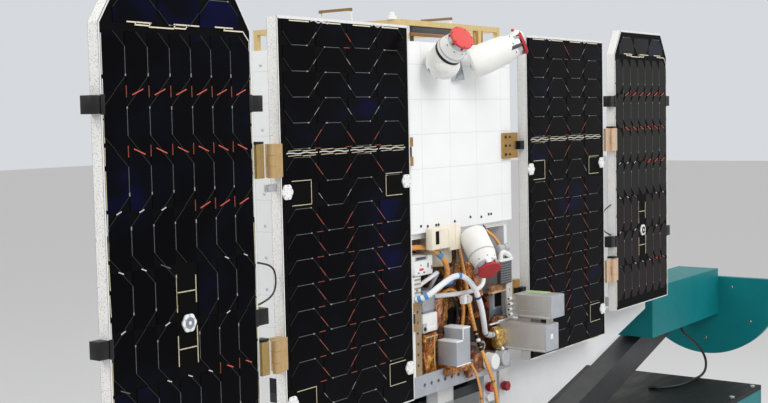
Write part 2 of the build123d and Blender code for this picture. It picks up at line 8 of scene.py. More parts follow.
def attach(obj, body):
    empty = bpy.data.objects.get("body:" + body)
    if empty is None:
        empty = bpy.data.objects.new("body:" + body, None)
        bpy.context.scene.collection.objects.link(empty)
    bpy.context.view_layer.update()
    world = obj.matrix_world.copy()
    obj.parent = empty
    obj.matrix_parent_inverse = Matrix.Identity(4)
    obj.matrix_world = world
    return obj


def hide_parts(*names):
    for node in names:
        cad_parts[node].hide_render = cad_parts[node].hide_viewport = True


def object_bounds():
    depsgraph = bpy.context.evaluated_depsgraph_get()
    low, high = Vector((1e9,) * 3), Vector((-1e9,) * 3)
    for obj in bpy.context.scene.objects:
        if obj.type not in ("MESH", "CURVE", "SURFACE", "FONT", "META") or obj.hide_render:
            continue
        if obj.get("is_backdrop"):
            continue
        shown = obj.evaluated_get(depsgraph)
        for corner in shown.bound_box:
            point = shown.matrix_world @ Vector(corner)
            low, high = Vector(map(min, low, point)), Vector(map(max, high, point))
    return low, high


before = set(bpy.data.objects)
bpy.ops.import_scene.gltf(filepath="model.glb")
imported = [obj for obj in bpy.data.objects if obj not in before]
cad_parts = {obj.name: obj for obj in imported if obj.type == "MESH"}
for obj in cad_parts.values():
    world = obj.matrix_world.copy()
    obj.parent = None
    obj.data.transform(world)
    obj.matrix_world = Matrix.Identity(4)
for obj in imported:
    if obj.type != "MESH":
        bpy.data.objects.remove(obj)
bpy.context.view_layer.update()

# Lengths below are in millimetres from the satellite's own point of reference: x = 0 at the
# body's middle, y = 0 at the front of the opened wings, z = 0 at the body's underside.
MM = 0.001
SHIFT = Vector((-250.75, -220.0, 878.0))
TO_ROW = Matrix.Scale(MM, 4) @ Matrix.Translation(SHIFT)
chance = random.Random(7)
EVEN = (1.0, 1.0, 1.0)


def at(x, y, z):
    """A point of the satellite's own reference, in the row frame."""
    return TO_ROW @ Vector((x, y, z))


def paint(red, green, blue):
    """A colour as it shows on a screen, 0 to 255, for a shader."""
    shares = [part / 255 for part in (red, green, blue)]
    return tuple(s / 12.92 if s <= 0.04045 else ((s + 0.055) / 1.055) ** 2.4 for s in shares) + (1.0,)


# Camera
IMAGE_W = 768
FOCAL_PX = 1224.5
SENSOR = 36.0
CAMERA_AT = (-2.25075, -1.486, 1.400)
HEADING = math.radians(53.49)
DOWN = math.radians(3.98)
ROLL = math.radians(-1.22)

forward = Vector((math.sin(HEADING) * math.cos(DOWN), math.cos(HEADING) * math.cos(DOWN), -math.sin(DOWN)))
level_right = Vector((math.cos(HEADING), -math.sin(HEADING), 0.0))
level_up = level_right.cross(forward)
right = level_right * math.cos(ROLL) + level_up * math.sin(ROLL)
up = level_up * math.cos(ROLL) - level_right * math.sin(ROLL)
camera_data = bpy.data.cameras.new("camera")
camera_data.sensor_width = SENSOR
camera_data.lens = FOCAL_PX * SENSOR / IMAGE_W
camera_data.clip_end = 100.0
camera = bpy.data.objects.new("camera", camera_data)
facing = Matrix((right, up, -forward)).transposed().to_4x4()
camera.matrix_world = Matrix.Translation(Vector(CAMERA_AT)) @ facing
bpy.context.scene.collection.objects.link(camera)
bpy.context.scene.camera = camera


class Wire:
    """A node's output. Plain arithmetic on it adds the Math nodes that work it out."""

    def __init__(self, finish, socket):
        self.finish = finish
        self.socket = socket

    def work(self, operation, first, second=0.0):
        return self.finish.node("ShaderNodeMath", {"operation": operation}, {0: first, 1: second})

    def __add__(self, other):
        return self.work("ADD", self, other)

    def __radd__(self, other):
        return self.work("ADD", other, self)

    def __sub__(self, other):
        return self.work("SUBTRACT", self, other)

    def __rsub__(self, other):
        return self.work("SUBTRACT", other, self)

    def __mul__(self, other):
        return self.work("MULTIPLY", self, other)

    def __rmul__(self, other):
        return self.work("MULTIPLY", other, self)

    def __mod__(self, other):
        return self.work("FLOORED_MODULO", self, other)

    def __abs__(self):
        return self.work("ABSOLUTE", self)

    def __lt__(self, other):
        return self.work("LESS_THAN", self, other)

    def __gt__(self, other):
        return self.work("GREATER_THAN", self, other)

    def __or__(self, other):
        return self.work("MAXIMUM", self, other)


class Finish:
    """A surface finish that its nodes work out from the place on the piece."""

    SOCKETS = {
        "base": "Base Color",
        "rough": "Roughness",
        "metal": "Metallic",
        "gloss": "Specular IOR Level",
        "coat": "Coat Weight",
        "coat_rough": "Coat Roughness",
        "sheen": "Sheen Weight",
        "normal": "Normal",
    }

    def __init__(self, name):
        self.material = bpy.data.materials.new(name)
        self.material.use_nodes = True
        self.tree = self.material.node_tree
        self.shader = self.tree.nodes["Principled BSDF"]
        self.place = self.node("ShaderNodeTexCoord", out="Object")

    def node(self, kind, settings=None, sockets=None, out=0):
        """Adds one node: its settings first, then the values or links of its sockets."""
        made = self.tree.nodes.new(kind)
        for name, value in (settings or {}).items():
            if name == "stops":
                for spot, colour in value[2:]:
                    made.color_ramp.elements.new(spot)
                for element, (spot, colour) in zip(made.color_ramp.elements, sorted(value)):
                    element.position = spot
                    element.color = colour
            else:
                setattr(made, name, value)
        for key, value in (sockets or {}).items():
            if isinstance(value, Wire):
                self.tree.links.new(value.socket, made.inputs[key])
            else:
                made.inputs[key].default_value = value
        return Wire(self, made.outputs[out])

    def along(self, axis):
        """The place along one axis, in millimetres from the satellite's own reference."""
        apart = self.node("ShaderNodeSeparateXYZ", None, {0: self.place}, axis)
        return apart * (1 / MM) - SHIFT["XYZ".index(axis)]

    def grain(self, scale, detail=3.0, stretch=EVEN):
        """Soft cloudy noise, 0 to 1, with that many lumps to the metre."""
        spread = self.node("ShaderNodeVectorMath", {"operation": "MULTIPLY"}, {0: self.place, 1: stretch})
        return self.node("ShaderNodeTexNoise", None, {"Vector": spread, "Scale": scale, "Detail": detail})

    def facets(self, scale, feature="F1", out=0):
        """Patches with hard borders, as in creased film; output 1 is a tone for each patch."""
        sockets = {"Vector": self.place, "Scale": scale}
        return self.node("ShaderNodeTexVoronoi", {"feature": feature}, sockets, out)

    def mix(self, share, first, second):
        """One colour at share 0 and the other at 1."""
        first, second = (c if isinstance(c, Wire) else paint(*c) for c in (first, second))
        return self.node("ShaderNodeMix", {"data_type": "RGBA"}, {0: share, 6: first, 7: second}, 2)

    def ramp(self, share, *stops):
        """Colours that run into each other, each at its own share."""
        stops = [(spot, paint(*colour)) for spot, colour in stops]
        return self.node("ShaderNodeValToRGB", {"stops": stops}, {0: share})

    def relief(self, height, strength, depth):
        """The normal over small hills of that height, in millimetres at full share."""
        sockets = {"Strength": strength, "Distance": depth * MM, "Height": height}
        return self.node("ShaderNodeBump", None, sockets)

    def put(self, **values):
        for name, value in values.items():
            socket = self.shader.inputs[self.SOCKETS[name]]
            if isinstance(value, Wire):
                self.tree.links.new(value.socket, socket)
            else:
                socket.default_value = value


def coated(name, colour, shade, rough=0.5, metal=0.0, lumps=60.0, relief=0.15, stretch=EVEN, **more):
    """Paint, plastic or plain metal: a cloudy blend of two near colours, with fine hills."""
    finish = Finish(name)
    cloud = finish.grain(lumps, 4.0, stretch)
    fine = finish.grain(lumps * 14, 2.0, stretch)
    finish.put(
        base=finish.mix(cloud, colour, shade),
        rough=rough - 0.08 + 0.16 * finish.grain(lumps * 3),
        metal=metal,
        normal=finish.relief(fine, relief, 0.4),
        **more,
    )
    return finish


def brushed(name, colour, shade, rough, lines, metal):
    """Machined metal with fine tool lines along one axis."""
    return coated(name, colour, shade, rough, metal, 30.0, 0.25, lines)


def creased(name, dark, mid, light, scale):
    """Crinkled film: facets in several tones of one colour, large ones broken into small ones; its dark tone
    is painted shade in the creases and its light tone a painted highlight.
    """
    finish = Finish(name)
    cloud = finish.grain(scale * 0.45, 5.0)
    share = cloud * 0.9 + finish.facets(scale, out=1) * 0.4 + finish.facets(scale * 2.4, out=1) * 0.3 - 0.38
    folds = finish.facets(scale) + finish.facets(scale * 2.4) * 0.5
    finish.put(
        # The ramp's dark stop is painted crease shade and its light stop a painted highlight
        base=finish.ramp(share, (0.16, dark), (0.8, light), (0.44, mid)),
        rough=0.12 + 0.25 * cloud,
        metal=0.4,
        coat=0.6,
        coat_rough=0.1,
        normal=finish.relief(folds, 0.9, 5.0),
    )
    return finish


def braided(name, colour, shade, pitch, rough=0.55):
    """A woven sleeve: two sets of crossing threads."""
    finish = Finish(name)
    x, y, z = (finish.along(axis) for axis in "XYZ")
    one = abs((x + z + y * 0.3) % pitch - pitch / 2)
    other = abs((x - z + y * 0.3) % pitch - pitch / 2)
    threads = (one | other) * (2 / pitch)
    finish.put(
        base=finish.mix(threads, shade, colour),
        rough=rough + 0.2 * finish.grain(80.0),
        coat=0.6 - rough,
        normal=finish.relief(threads, 0.5, 0.5),
    )
    return finish


white = coated("white_paint", (238, 239, 238), (228, 229, 229), 0.5, lumps=25.0)
white_trim = coated("white_edge_tape", (232, 233, 232), (205, 206, 206), 0.45, lumps=120.0)
cream = coated("cream_moulding", (238, 231, 215), (224, 214, 192), 0.45, lumps=80.0)
white_plastic = coated("white_moulding", (240, 240, 238), (224, 225, 226), 0.35, lumps=80.0)
grey_plastic = coated("grey_moulding", (186, 188, 190), (166, 168, 172), 0.45, lumps=80.0)
# The pale and faint cell edge lines are painted glints on the cover glass edges; the pale one also draws some
# dashes
pale_line_and_glint = coated("pale_cell_edge_and_glint", (112, 115, 116), (66, 68, 70), 0.35, 0.3, lumps=150.0)
faint_edge_glint = coated("faint_cell_edge_glint", (46, 48, 52), (22, 24, 27), 0.4, 0.3, lumps=150.0)
link_line = coated("cell_link", (176, 175, 172), (112, 111, 109), 0.4, 0.3, lumps=120.0)
bus_line = coated("bright_cream_bus", (236, 230, 206), (206, 196, 166), 0.4, lumps=140.0)
cream_line = coated("cream_bus", (206, 197, 168), (168, 154, 122), 0.5, lumps=140.0)
bright_line = coated("bright_bus", (226, 228, 228), (184, 186, 186), 0.3, 0.2, lumps=140.0)
red_tab = coated("red_diode_tab", (164, 70, 50), (98, 40, 30), 0.4, lumps=120.0)
rose_tab = coated("rose_diode_tab", (224, 104, 84), (168, 62, 44), 0.35, lumps=120.0)
gold = brushed("gold_conversion_coat", (196, 158, 96), (158, 120, 66), 0.35, (1.0, 1.0, 8.0), 0.7)
pale_gold = brushed("pale_gold_coat", (226, 202, 146), (206, 178, 118), 0.4, (8.0, 1.0, 1.0), 0.35)
silver = brushed("bare_aluminium", (208, 210, 212), (176, 178, 182), 0.35, (1.0, 6.0, 1.0), 0.6)
warm_silver = brushed("milled_aluminium", (200, 198, 194), (182, 180, 177), 0.42, (1.0, 7.0, 1.0), 0.35)
blue_grey = coated("clear_anodised_box", (150, 158, 170), (120, 128, 142), 0.4, 0.4, lumps=50.0)
shiny_gold = coated("polished_gold", (244, 214, 140), (206, 160, 74), 0.24, 0.85, lumps=160.0, relief=0.5)
light_box = coated("light_anodised_box", (186, 190, 196), (160, 165, 174), 0.4, 0.35, lumps=50.0)
black_metal = coated("black_anodised", (30, 30, 32), (18, 18, 20), 0.4, 0.4, lumps=70.0)
# Dark finish for dark parts; where it fills the film's hollow it is painted shade
dark = coated("dark_recess_and_painted_shade", (16, 15, 15), (8, 8, 8), 0.7, lumps=70.0, gloss=0.15)
glass = coated("dark_window", (56, 68, 84), (34, 42, 54), 0.15, lumps=40.0, coat=0.6)
red_cover = coated("red_dust_cover", (186, 46, 52), (168, 34, 42), 0.55, lumps=220.0, relief=0.4)
salmon_cover = coated("salmon_dust_cover", (226, 82, 76), (206, 62, 60), 0.55, lumps=220.0, relief=0.4)
knob_red = coated("red_knob", (176, 28, 36), (140, 16, 24), 0.35, lumps=90.0)
blue_tie = coated("blue_tie", (92, 156, 206), (62, 122, 178), 0.45, lumps=120.0)
deep_blue_tie = coated("dark_blue_tie", (34, 78, 124), (22, 54, 92), 0.45, lumps=120.0)
green_tape = coated("green_tape", (190, 216, 168), (160, 198, 130), 0.45, lumps=90.0)
teal = coated("teal_paint", (14, 126, 130), (8, 108, 114), 0.42, lumps=12.0, relief=0.0, gloss=0.2)
dark_grey = coated("dark_grey_paint", (76, 77, 79), (52, 53, 56), 0.45, lumps=20.0)
rubber = coated("foot_rubber", (36, 36, 37), (24, 24, 25), 0.75, lumps=60.0)
black_sleeve = coated("black_cable_sheath", (30, 32, 34), (18, 20, 22), 0.5, lumps=140.0)
grey_sleeve = coated("grey_sleeve", (120, 124, 128), (92, 96, 100), 0.5, lumps=140.0)
brown_tape = coated("brown_tape", (152, 110, 66), (112, 74, 40), 0.4, 0.1, lumps=60.0)
# Each film's first colour is painted crease shade and its third a painted highlight
amber = creased("amber_film", (78, 36, 8), (186, 108, 26), (255, 204, 108), 75.0)
copper = creased("copper_film", (60, 30, 16), (146, 82, 44), (236, 172, 124), 60.0)
brown_film = creased("brown_film", (40, 22, 10), (124, 74, 28), (242, 176, 84), 65.0)
white_braid = braided("white_woven_sleeve", (242, 243, 245), (208, 212, 218), 1.6)
amber_wrap = braided("amber_wrapped_sleeve", (240, 176, 92), (184, 108, 36), 5.0, 0.28)


# Where the finishes change, in millimetres
PANEL_T = 20.0
SKIN_T = 0.3
OUTER_WINGS_X = 600.0
PAINTED_SHEEN_ZS = (636.0, 655.0)
PAINTED_WARM_TOP_Z = 330.0
FINGER_PITCH = 1.6
WEAVE_PITCH = 4.0
TILE_X = 94.0
TILE_Z = 64.0
SEAM_W = 0.7
BAR_SEAM_Z = 164.5
HINGE_SLIT_X = 602.0
HINGE_SLIT_HALF = 1.6
POST_TAPE_TOP_Z = 181.0
POST_EDGE_X = -174.5
RUNG_PITCH = 8.0
GRIP_LOW_Z = 720.0
DRUM_PITCH = 9.0
ARM_LEFT = 185.9


def cell_finish():
    """Covered solar cells: near black under a painted blue sheen that is bluer along the top rows, greyer on
    the outer right wing and warmer low down there; these tints are painted reflections.
    """
    finish = Finish("cell_glass")
    x, z = finish.along("X"), finish.along("Z")
    at_right = x > OUTER_WINGS_X
    high, highest = z > PAINTED_SHEEN_ZS[0], z > PAINTED_SHEEN_ZS[1]
    # Painted blue sheen: soft patches, plus a painted reflection that makes the top rows bluer
    painted_blue_sheen = finish.grain(7.0, 2.0, (1.0, 1.0, 1.4)) + high * 0.1 + highest * (abs(x) > OUTER_WINGS_X) * 0.16
    fingers = abs(x % FINGER_PITCH - FINGER_PITCH / 2) * 1.2
    blue = finish.ramp(painted_blue_sheen, (0.44, (5, 5, 7)), (0.84, (12, 14, 56)), (0.62, (7, 8, 16)))
    # The outer right wing's greyer tint and its warm tint low down are painted reflections
    painted_light_share = at_right * (z < PAINTED_WARM_TOP_Z) * finish.grain(6.0)
    finish.put(
        base=finish.mix(painted_light_share, finish.mix(at_right * 0.6, blue, (46, 48, 45)), (40, 24, 32)),
        rough=0.1 + 0.1 * painted_blue_sheen,
        gloss=0.04,
        normal=finish.relief(fingers, 0.04, 0.2),
    )
    return finish


def board_finish():
    """A wing panel: black film in front, white-taped edges over honeycomb, woven carbon behind."""
    finish = Finish("panel_board")
    x, y, z = (finish.along(axis) for axis in "XYZ")
    in_front = y < SKIN_T
    behind = y > PANEL_T - SKIN_T
    cells = finish.facets(260.0, "DISTANCE_TO_EDGE")
    tape = finish.mix(finish.grain(60.0, 4.0), (226, 226, 224), (240, 240, 238))
    specks = (finish.grain(520.0, 1.0) > 0.63) * 0.5 | (cells < 0.05) * 0.16
    edge = finish.mix(specks * (1 - 0.6 * (x > 0)), tape, (120, 104, 84))
    weave = abs((x % WEAVE_PITCH > WEAVE_PITCH / 2) - (z % WEAVE_PITCH > WEAVE_PITCH / 2))
    back = finish.mix(weave * 0.5, (38, 39, 42), (56, 57, 60))
    front = finish.mix(finish.grain(9.0), (5, 5, 6), (9, 9, 10))
    finish.put(
        base=finish.mix(behind, finish.mix(in_front, edge, front), back),
        rough=0.4 + 0.2 * finish.grain(50.0),
        gloss=0.04,
        normal=finish.relief(cells * 0.4 | weave * 0.2, 0.2, 0.6),
    )
    return finish


def tiled_finish():
    """The body's white film in tiles, with very fine seams between them on every side."""
    finish = Finish("white_tiled_body")
    x, y, z = (finish.along(axis) for axis in "XYZ")
    seam = abs(x % TILE_X - TILE_X / 2) < SEAM_W
    seam = seam | (abs((y + 20) % TILE_X - TILE_X / 2) < SEAM_W)
    seam = seam | (abs((z - 7.5) % TILE_Z - TILE_Z / 2) < SEAM_W)
    film = finish.mix(finish.grain(14.0, 3.0), (240, 241, 241), (230, 231, 232))
    finish.put(
        base=finish.mix(seam * 0.5, film, (200, 201, 203)),
        rough=0.42 + 0.12 * finish.grain(60.0),
        normal=finish.relief(seam * -1.0 + finish.grain(30.0) * 0.3, 0.4, 0.5),
    )
    return finish


def bar_finish():
    """The bay's cross bar: copper-brown tape over a beige lower edge."""
    finish = Finish("taped_bar")
    wander = finish.grain(40.0, 3.0)
    low = finish.along("Z") + 4 * wander < BAR_SEAM_Z
    tape = finish.ramp(
        finish.grain(90.0, 6.0),
        (0.3, (92, 58, 36)), (0.72, (196, 146, 98)), (0.5, (146, 102, 64)),
    )
    finish.put(
        base=finish.mix(low * 0.9, tape, (214, 184, 150)),
        rough=0.3 + 0.25 * finish.grain(90.0),
        metal=0.2,
        normal=finish.relief(finish.facets(90.0), 0.5, 2.0),
    )
    return finish


def hinge_finish():
    """The hinges between panels: olive gold outside the slit, light tan inside it, paler at right."""
    finish = Finish("hinge_gold")
    x = finish.along("X")
    aside = abs(x) - HINGE_SLIT_X
    worn = finish.grain(90.0, 4.0)
    outer = finish.mix(worn, (150, 124, 72), (182, 154, 98))
    inner = finish.mix(worn, (206, 176, 128), (182, 148, 98))
    both = finish.mix((x > 0) * 0.7, finish.mix(aside > 0, inner, outer), (232, 206, 184))
    finish.put(
        base=finish.mix(abs(aside) < HINGE_SLIT_HALF, both, (232, 234, 236)),
        rough=0.3 + 0.15 * worn,
        metal=0.5,
        normal=finish.relief(finish.grain(700.0, 2.0), 0.2, 0.3),
    )
    return finish


def post_finish():
    """The bay's posts: tan tape, but the left one bare with dark rungs above, and white at its edge."""
    finish = Finish("bay_post_tape")
    x, z = finish.along("X"), finish.along("Z")
    left = x < 0
    rungs = abs(z % RUNG_PITCH - RUNG_PITCH / 2) < 1.6
    bare = finish.mix(left * rungs, (222, 221, 217), (150, 146, 138))
    tan = finish.mix(finish.grain(60.0, 5.0), (176, 156, 126), (120, 98, 70))
    body = finish.mix(left * (z < POST_TAPE_TOP_Z), bare, tan)
    finish.put(
        base=finish.mix(left * (x < POST_EDGE_X), body, (240, 240, 238)),
        rough=0.35 + 0.2 * finish.grain(80.0),
        metal=0.2,
        normal=finish.relief(finish.grain(400.0), 0.2, 0.4),
    )
    return finish


def handle_finish():
    """The lifting handles: dark gold grip on white legs."""
    finish = Finish("handle_paint")
    grip = finish.along("Z") > GRIP_LOW_Z
    white_leg = finish.mix(finish.grain(120.0), (236, 236, 233), (216, 216, 212))
    finish.put(
        base=finish.mix(grip, white_leg, (140, 112, 70)),
        rough=0.35 + 0.2 * finish.grain(120.0),
        metal=grip * 0.5,
        normal=finish.relief(finish.grain(600.0), 0.2, 0.3),
    )
    return finish


def duct_finish():
    """The drum behind the harness: cream that runs into brown at its lower right, where the brown is painted
    shade.
    """
    finish = Finish("cream_drum")
    x, z = finish.along("X"), finish.along("Z")
    # Painted shade: the colour runs darker towards the lower right
    painted_light_share = (x + 78) * 0.005 + (262 - z) * 0.012 + finish.grain(30.0, 4.0) * 0.4
    finish.put(
        base=finish.ramp(
            painted_light_share, (0.35, (226, 219, 200)), (1.0, (84, 56, 30)), (0.68, (196, 184, 158))
        ),
        rough=0.35 + 0.2 * finish.grain(60.0),
        normal=finish.relief(abs(z % DRUM_PITCH - DRUM_PITCH / 2), 0.15, 0.6),
    )
    return finish


def deck_finish():
    """The deck's black sheet, with long scuffs and dull dusty patches."""
    finish = Finish("deck_sheet")
    scuffs = finish.grain(18.0, 5.0, (0.4, 3.0, 1.0))
    finish.put(
        base=finish.mix(scuffs, (10, 10, 11), (36, 36, 36)),
        rough=0.26 + 0.4 * scuffs,
        gloss=0.15,
        normal=finish.relief(finish.grain(50.0, 4.0), 0.08, 0.6),
    )
    return finish


def arm_finish():
    """The arm's white paint; its table under the body is dark grey."""
    finish = Finish("arm_paint")
    cloud = finish.grain(30.0, 3.0)
    finish.put(
        base=finish.mix(
            finish.along("X") < ARM_LEFT,
            finish.mix(cloud, (236, 237, 238), (226, 227, 229)),
            finish.mix(cloud, (40, 46, 54), (24, 28, 34)),
        ),
        rough=0.36 + 0.16 * finish.grain(60.0),
        normal=finish.relief(finish.grain(400.0, 2.0), 0.1, 0.4),
    )
    return finish


def blanket_finish():
    """White thermal cloth: soft creases with a fine weave on them."""
    finish = Finish("white_blanket")
    soft = finish.grain(28.0, 4.0)
    weave = abs(finish.along("X") % 1.2 - 0.6) | abs(finish.along("Z") % 1.2 - 0.6)
    finish.put(
        base=finish.mix(soft, (246, 246, 243), (226, 226, 222)),
        rough=0.6,
        sheen=0.2,
        normal=finish.relief(soft + weave * 0.05, 0.5, 3.0),
    )
    return finish


cell_glass = cell_finish()
board = board_finish()
tiled_white = tiled_finish()
taped_bar = bar_finish()
hinge_gold = hinge_finish()
taped_post = post_finish()
handle_paint = handle_finish()
drum_cream = duct_finish()
deck_sheet = deck_finish()
arm_paint = arm_finish()
blanket = blanket_finish()


# Ways that a bit can face, and measures that several bits share
FRONT, BACK, UP, LEFT, RIGHT = (0, -1, 0), (0, 1, 0), (0, 0, 1), (-1, 0, 0), (1, 0, 0)
TIP = 0.01  # the radius that closes a turned end
RIBBON_T = 0.8
BAG_LUMPS = 0.035  # folds of a bag's skin, to the millimetre


def rounded(bit, soften):
    """Rounds every edge of a bit."""
    if soften:
        bmesh.ops.bevel(bit, geom=bit.edges[:], offset=soften, segments=2, affect="EDGES", profile=0.5)


def filled(vert, low, size):
    """Where a unit cube's point lies once the cube fills a box."""
    return low + Vector([(share + 0.5) * length for share, length in zip(vert.co, size)])


def smooth_line(name, points, radius):
    """A round bar's or cord's curve, with the route's points as its control points."""
    data = bpy.data.curves.new(name, "CURVE")
    data.dimensions = "3D"
    data.bevel_depth = radius * MM
    data.bevel_resolution = 4
    data.resolution_u = 10
    data.use_fill_caps = True
    line = data.splines.new("NURBS")
    line.points.add(len(points) - 1)
    for spot, point in zip(line.points, points):
        spot.co = at(*point).to_4d()
    line.order_u = 3
    line.use_endpoint_u = True
    return data


class Shape:
    """Gathers solid bits, each with its finish, into one object that rides on a body."""

    def __init__(self, name):
        self.name = name
        self.mesh = bmesh.new()
        self.finishes = []

    def take(self, bit, finish, turn=None):
        each = finish if isinstance(finish, list) else [finish] * len(bit.faces)
        for face, own in zip(bit.faces, each):
            if own not in self.finishes:
                self.finishes.append(own)
            face.material_index = self.finishes.index(own)
        if turn is not None:
            bit.transform(turn)
        loose = bpy.data.meshes.new("bit")
        bit.to_mesh(loose)
        bit.free()
        self.mesh.from_mesh(loose)
        bpy.data.meshes.remove(loose)

    def box(self, x0, x1, y0, y1, z0, z1, finish, soften=0.0, turn=None):
        """A box between two corners, its edges rounded by soften."""
        bit = bmesh.new()
        bmesh.ops.create_cube(bit, size=1.0)
        low, size = Vector((x0, y0, z0)), Vector((x1 - x0, y1 - y0, z1 - z0))
        for vert in bit.verts:
            vert.co = filled(vert, low, size)
        rounded(bit, soften)
        self.take(bit, finish, turn)

    def boxes(self, *rows):
        for row in rows:
            self.box(*row)

    def prism(self, outline, y0, y1, finish, soften=0.0, turn=None):
        """A flat shape in x and z, as thick as from y0 to y1."""
        bit = bmesh.new()
        near = [bit.verts.new((x, y0, z)) for x, z in outline]
        far = [bit.verts.new((x, y1, z)) for x, z in outline]
        bit.faces.new(near)
        bit.faces.new(far[::-1])
        for index in range(len(outline)):
            after = (index + 1) % len(outline)
            bit.faces.new((near[after], near[index], far[index], far[after]))
        bmesh.ops.recalc_face_normals(bit, faces=bit.faces[:])
        rounded(bit, soften)
        self.take(bit, finish, turn)

    def lathe(self, origin, axis, profile, finish, sides=32):
        """A turned shape: pairs of distance along the axis and radius."""
        bit = bmesh.new()
        lean = Vector(axis).to_track_quat("Z", "Y").to_matrix().to_4x4()
        turn = Matrix.Translation(Vector(origin)) @ lean
        angles = [2 * math.pi * index / sides for index in range(sides)]
        rings = []
        for reach, radius in profile:
            rings.append([bit.verts.new((radius * math.cos(a), radius * math.sin(a), reach)) for a in angles])
        for ring, after in zip(rings, rings[1:]):
            for index in range(sides):
                other = (index + 1) % sides
                bit.faces.new((ring[index], ring[other], after[other], after[index]))
        bit.faces.new(rings[0][::-1])
        bit.faces.new(rings[-1])
        bmesh.ops.remove_doubles(bit, verts=bit.verts[:], dist=0.001)
        bmesh.ops.recalc_face_normals(bit, faces=bit.faces[:])
        self.take(bit, finish, turn)

    def peg(self, origin, axis, low, high, radius, finish, sides):
        """A plain round head with a closed end, from low to high along its axis."""
        self.lathe(origin, axis, ((low, radius), (high, radius), (high, TIP)), finish, sides)

    def disc(self, x, y0, y1, z, radius, finish, sides=24):
        """A short round peg that faces the front."""
        self.lathe((x, y1, z), FRONT, ((0, radius), (y1 - y0, radius)), finish, sides)

    def discs(self, spots, y0, y1, radius, finish, sides):
        for x, z in spots:
            self.disc(x, y0, y1, z, radius, finish, sides)

    def strip(self, start, end, width, finish, y0=-0.95, y1=-0.3):
        """A thin straight strip on the cells' face between two points of x and z."""
        a, b = Vector(start), Vector(end)
        aside = (b - a).orthogonal().normalized() * (width / 2)
        self.prism([tuple(p) for p in (a - aside, b - aside, b + aside, a + aside)], y0, y1, finish)

    def crumpled(self, x0, x1, y0, y1, z0, z1, finish, depth, lumps=0.045, cuts=9):
        """A wrapped block whose faces sink and bulge, always inside its own box."""
        bit = bmesh.new()
        bmesh.ops.create_cube(bit, size=1.0)
        bmesh.ops.subdivide_edges(bit, edges=bit.edges[:], cuts=cuts, use_grid_fill=True)
        low, size = Vector((x0, y0, z0)), Vector((x1 - x0, y1 - y0, z1 - z0))
        middle = low + size / 2
        for vert in bit.verts:
            spot = filled(vert, low, size)
            wave = noise.fractal(spot * lumps, 0.9, 2.1, 4)
            corner = sum(abs(share) > 0.499 for share in vert.co) - 1
            inward = depth * (0.5 + 0.5 * max(-1.0, min(1.0, wave * 1.6))) + corner * depth * 0.25
            vert.co = spot + (middle - spot).normalized() * inward
        self.take(bit, finish)

    def ribbon(self, spots, width, finish, twist):
        """A bent flat strip through points, its width mostly along x."""
        bit = bmesh.new()
        rows = []
        for index, spot in enumerate(spots):
            angle = twist * index / (len(spots) - 1)
            side = Vector((math.cos(angle), math.sin(angle), 0)) * (width / 2)
            deep = Vector((-math.sin(angle), math.cos(angle), 0)) * RIBBON_T
            low, high = Vector(spot) - side, Vector(spot) + side
            rows.append([bit.verts.new(p) for p in (low, high, high + deep, low + deep)])
        for row, after in zip(rows, rows[1:]):
            for index in range(4):
                other = (index + 1) % 4
                bit.faces.new((row[index], row[other], after[other], after[index]))
        bit.faces.new(rows[0][::-1])
        bit.faces.new(rows[-1])
        bmesh.ops.recalc_face_normals(bit, faces=bit.faces[:])
        bmesh.ops.subdivide_edges(bit, edges=bit.edges[:], cuts=1, smooth=0.6)
        self.take(bit, finish)

    def peak(self, outline, y0, y1, tip, finishes):
        """A flat base whose sides slope, each in its own finish, to a tip in front."""
        bit = bmesh.new()
        back = [bit.verts.new((x, y0, z)) for x, z in outline]
        front = [bit.verts.new((x, y1, z)) for x, z in outline]
        top = bit.verts.new(tip)
        sides = []
        for index, finish in enumerate(finishes):
            after = (index + 1) % len(outline)
            bit.faces.new((front[index], front[after], top))
            bit.faces.new((back[index], back[after], front[after], front[index]))
            sides += [finish, finishes[0]]
        bit.faces.new(back[::-1])
        sides.append(finishes[0])
        bmesh.ops.recalc_face_normals(bit, faces=bit.faces[:])
        self.take(bit, sides)

    def lump(self, centre, radii, finish, slack):
        """A soft rounded bag: a ball drawn out to three radii, its skin folded between high spots."""
        bit = bmesh.new()
        bmesh.ops.create_icosphere(bit, subdivisions=5, radius=1.0)
        for vert in bit.verts:
            spot = Vector([share * reach for share, reach in zip(vert.co, radii)])
            fold = abs(noise.noise((spot + Vector(centre)) * BAG_LUMPS))
            fold += 0.4 * abs(noise.noise(spot * BAG_LUMPS * 3))
            vert.co = spot * (1 - slack + slack * min(1.0, fold * 2.2))
        self.take(bit, finish, Matrix.Translation(Vector(centre)))

    def tube(self, points, radius, finish):
        """A bent round bar or wire along a smooth line."""
        holder = bpy.data.objects.new("bar", smooth_line("bar", points, radius))
        mesh = bpy.data.meshes.new_from_object(holder)
        bit = bmesh.new()
        bit.from_mesh(mesh)
        bpy.data.objects.remove(holder)
        bpy.data.meshes.remove(mesh)
        self.take(bit, finish, TO_ROW.inverted())

    def done(self, body, replaced=(), slot=None, sharp=35.0):
        """Makes the object, lets it ride on its body and stand for its CAD nodes."""
        data = bpy.data.meshes.new(self.name)
        self.mesh.to_mesh(data)
        self.mesh.free()
        data.transform(TO_ROW)
        for finish in self.finishes:
            data.materials.append(finish.material)
        data.shade_smooth()
        data.set_sharp_from_angle(angle=math.radians(sharp))
        piece = bpy.data.objects.new(self.name, data)
        bpy.context.scene.collection.objects.link(piece)
        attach(piece, body)
        if replaced:
            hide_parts(*replaced)
        return piece


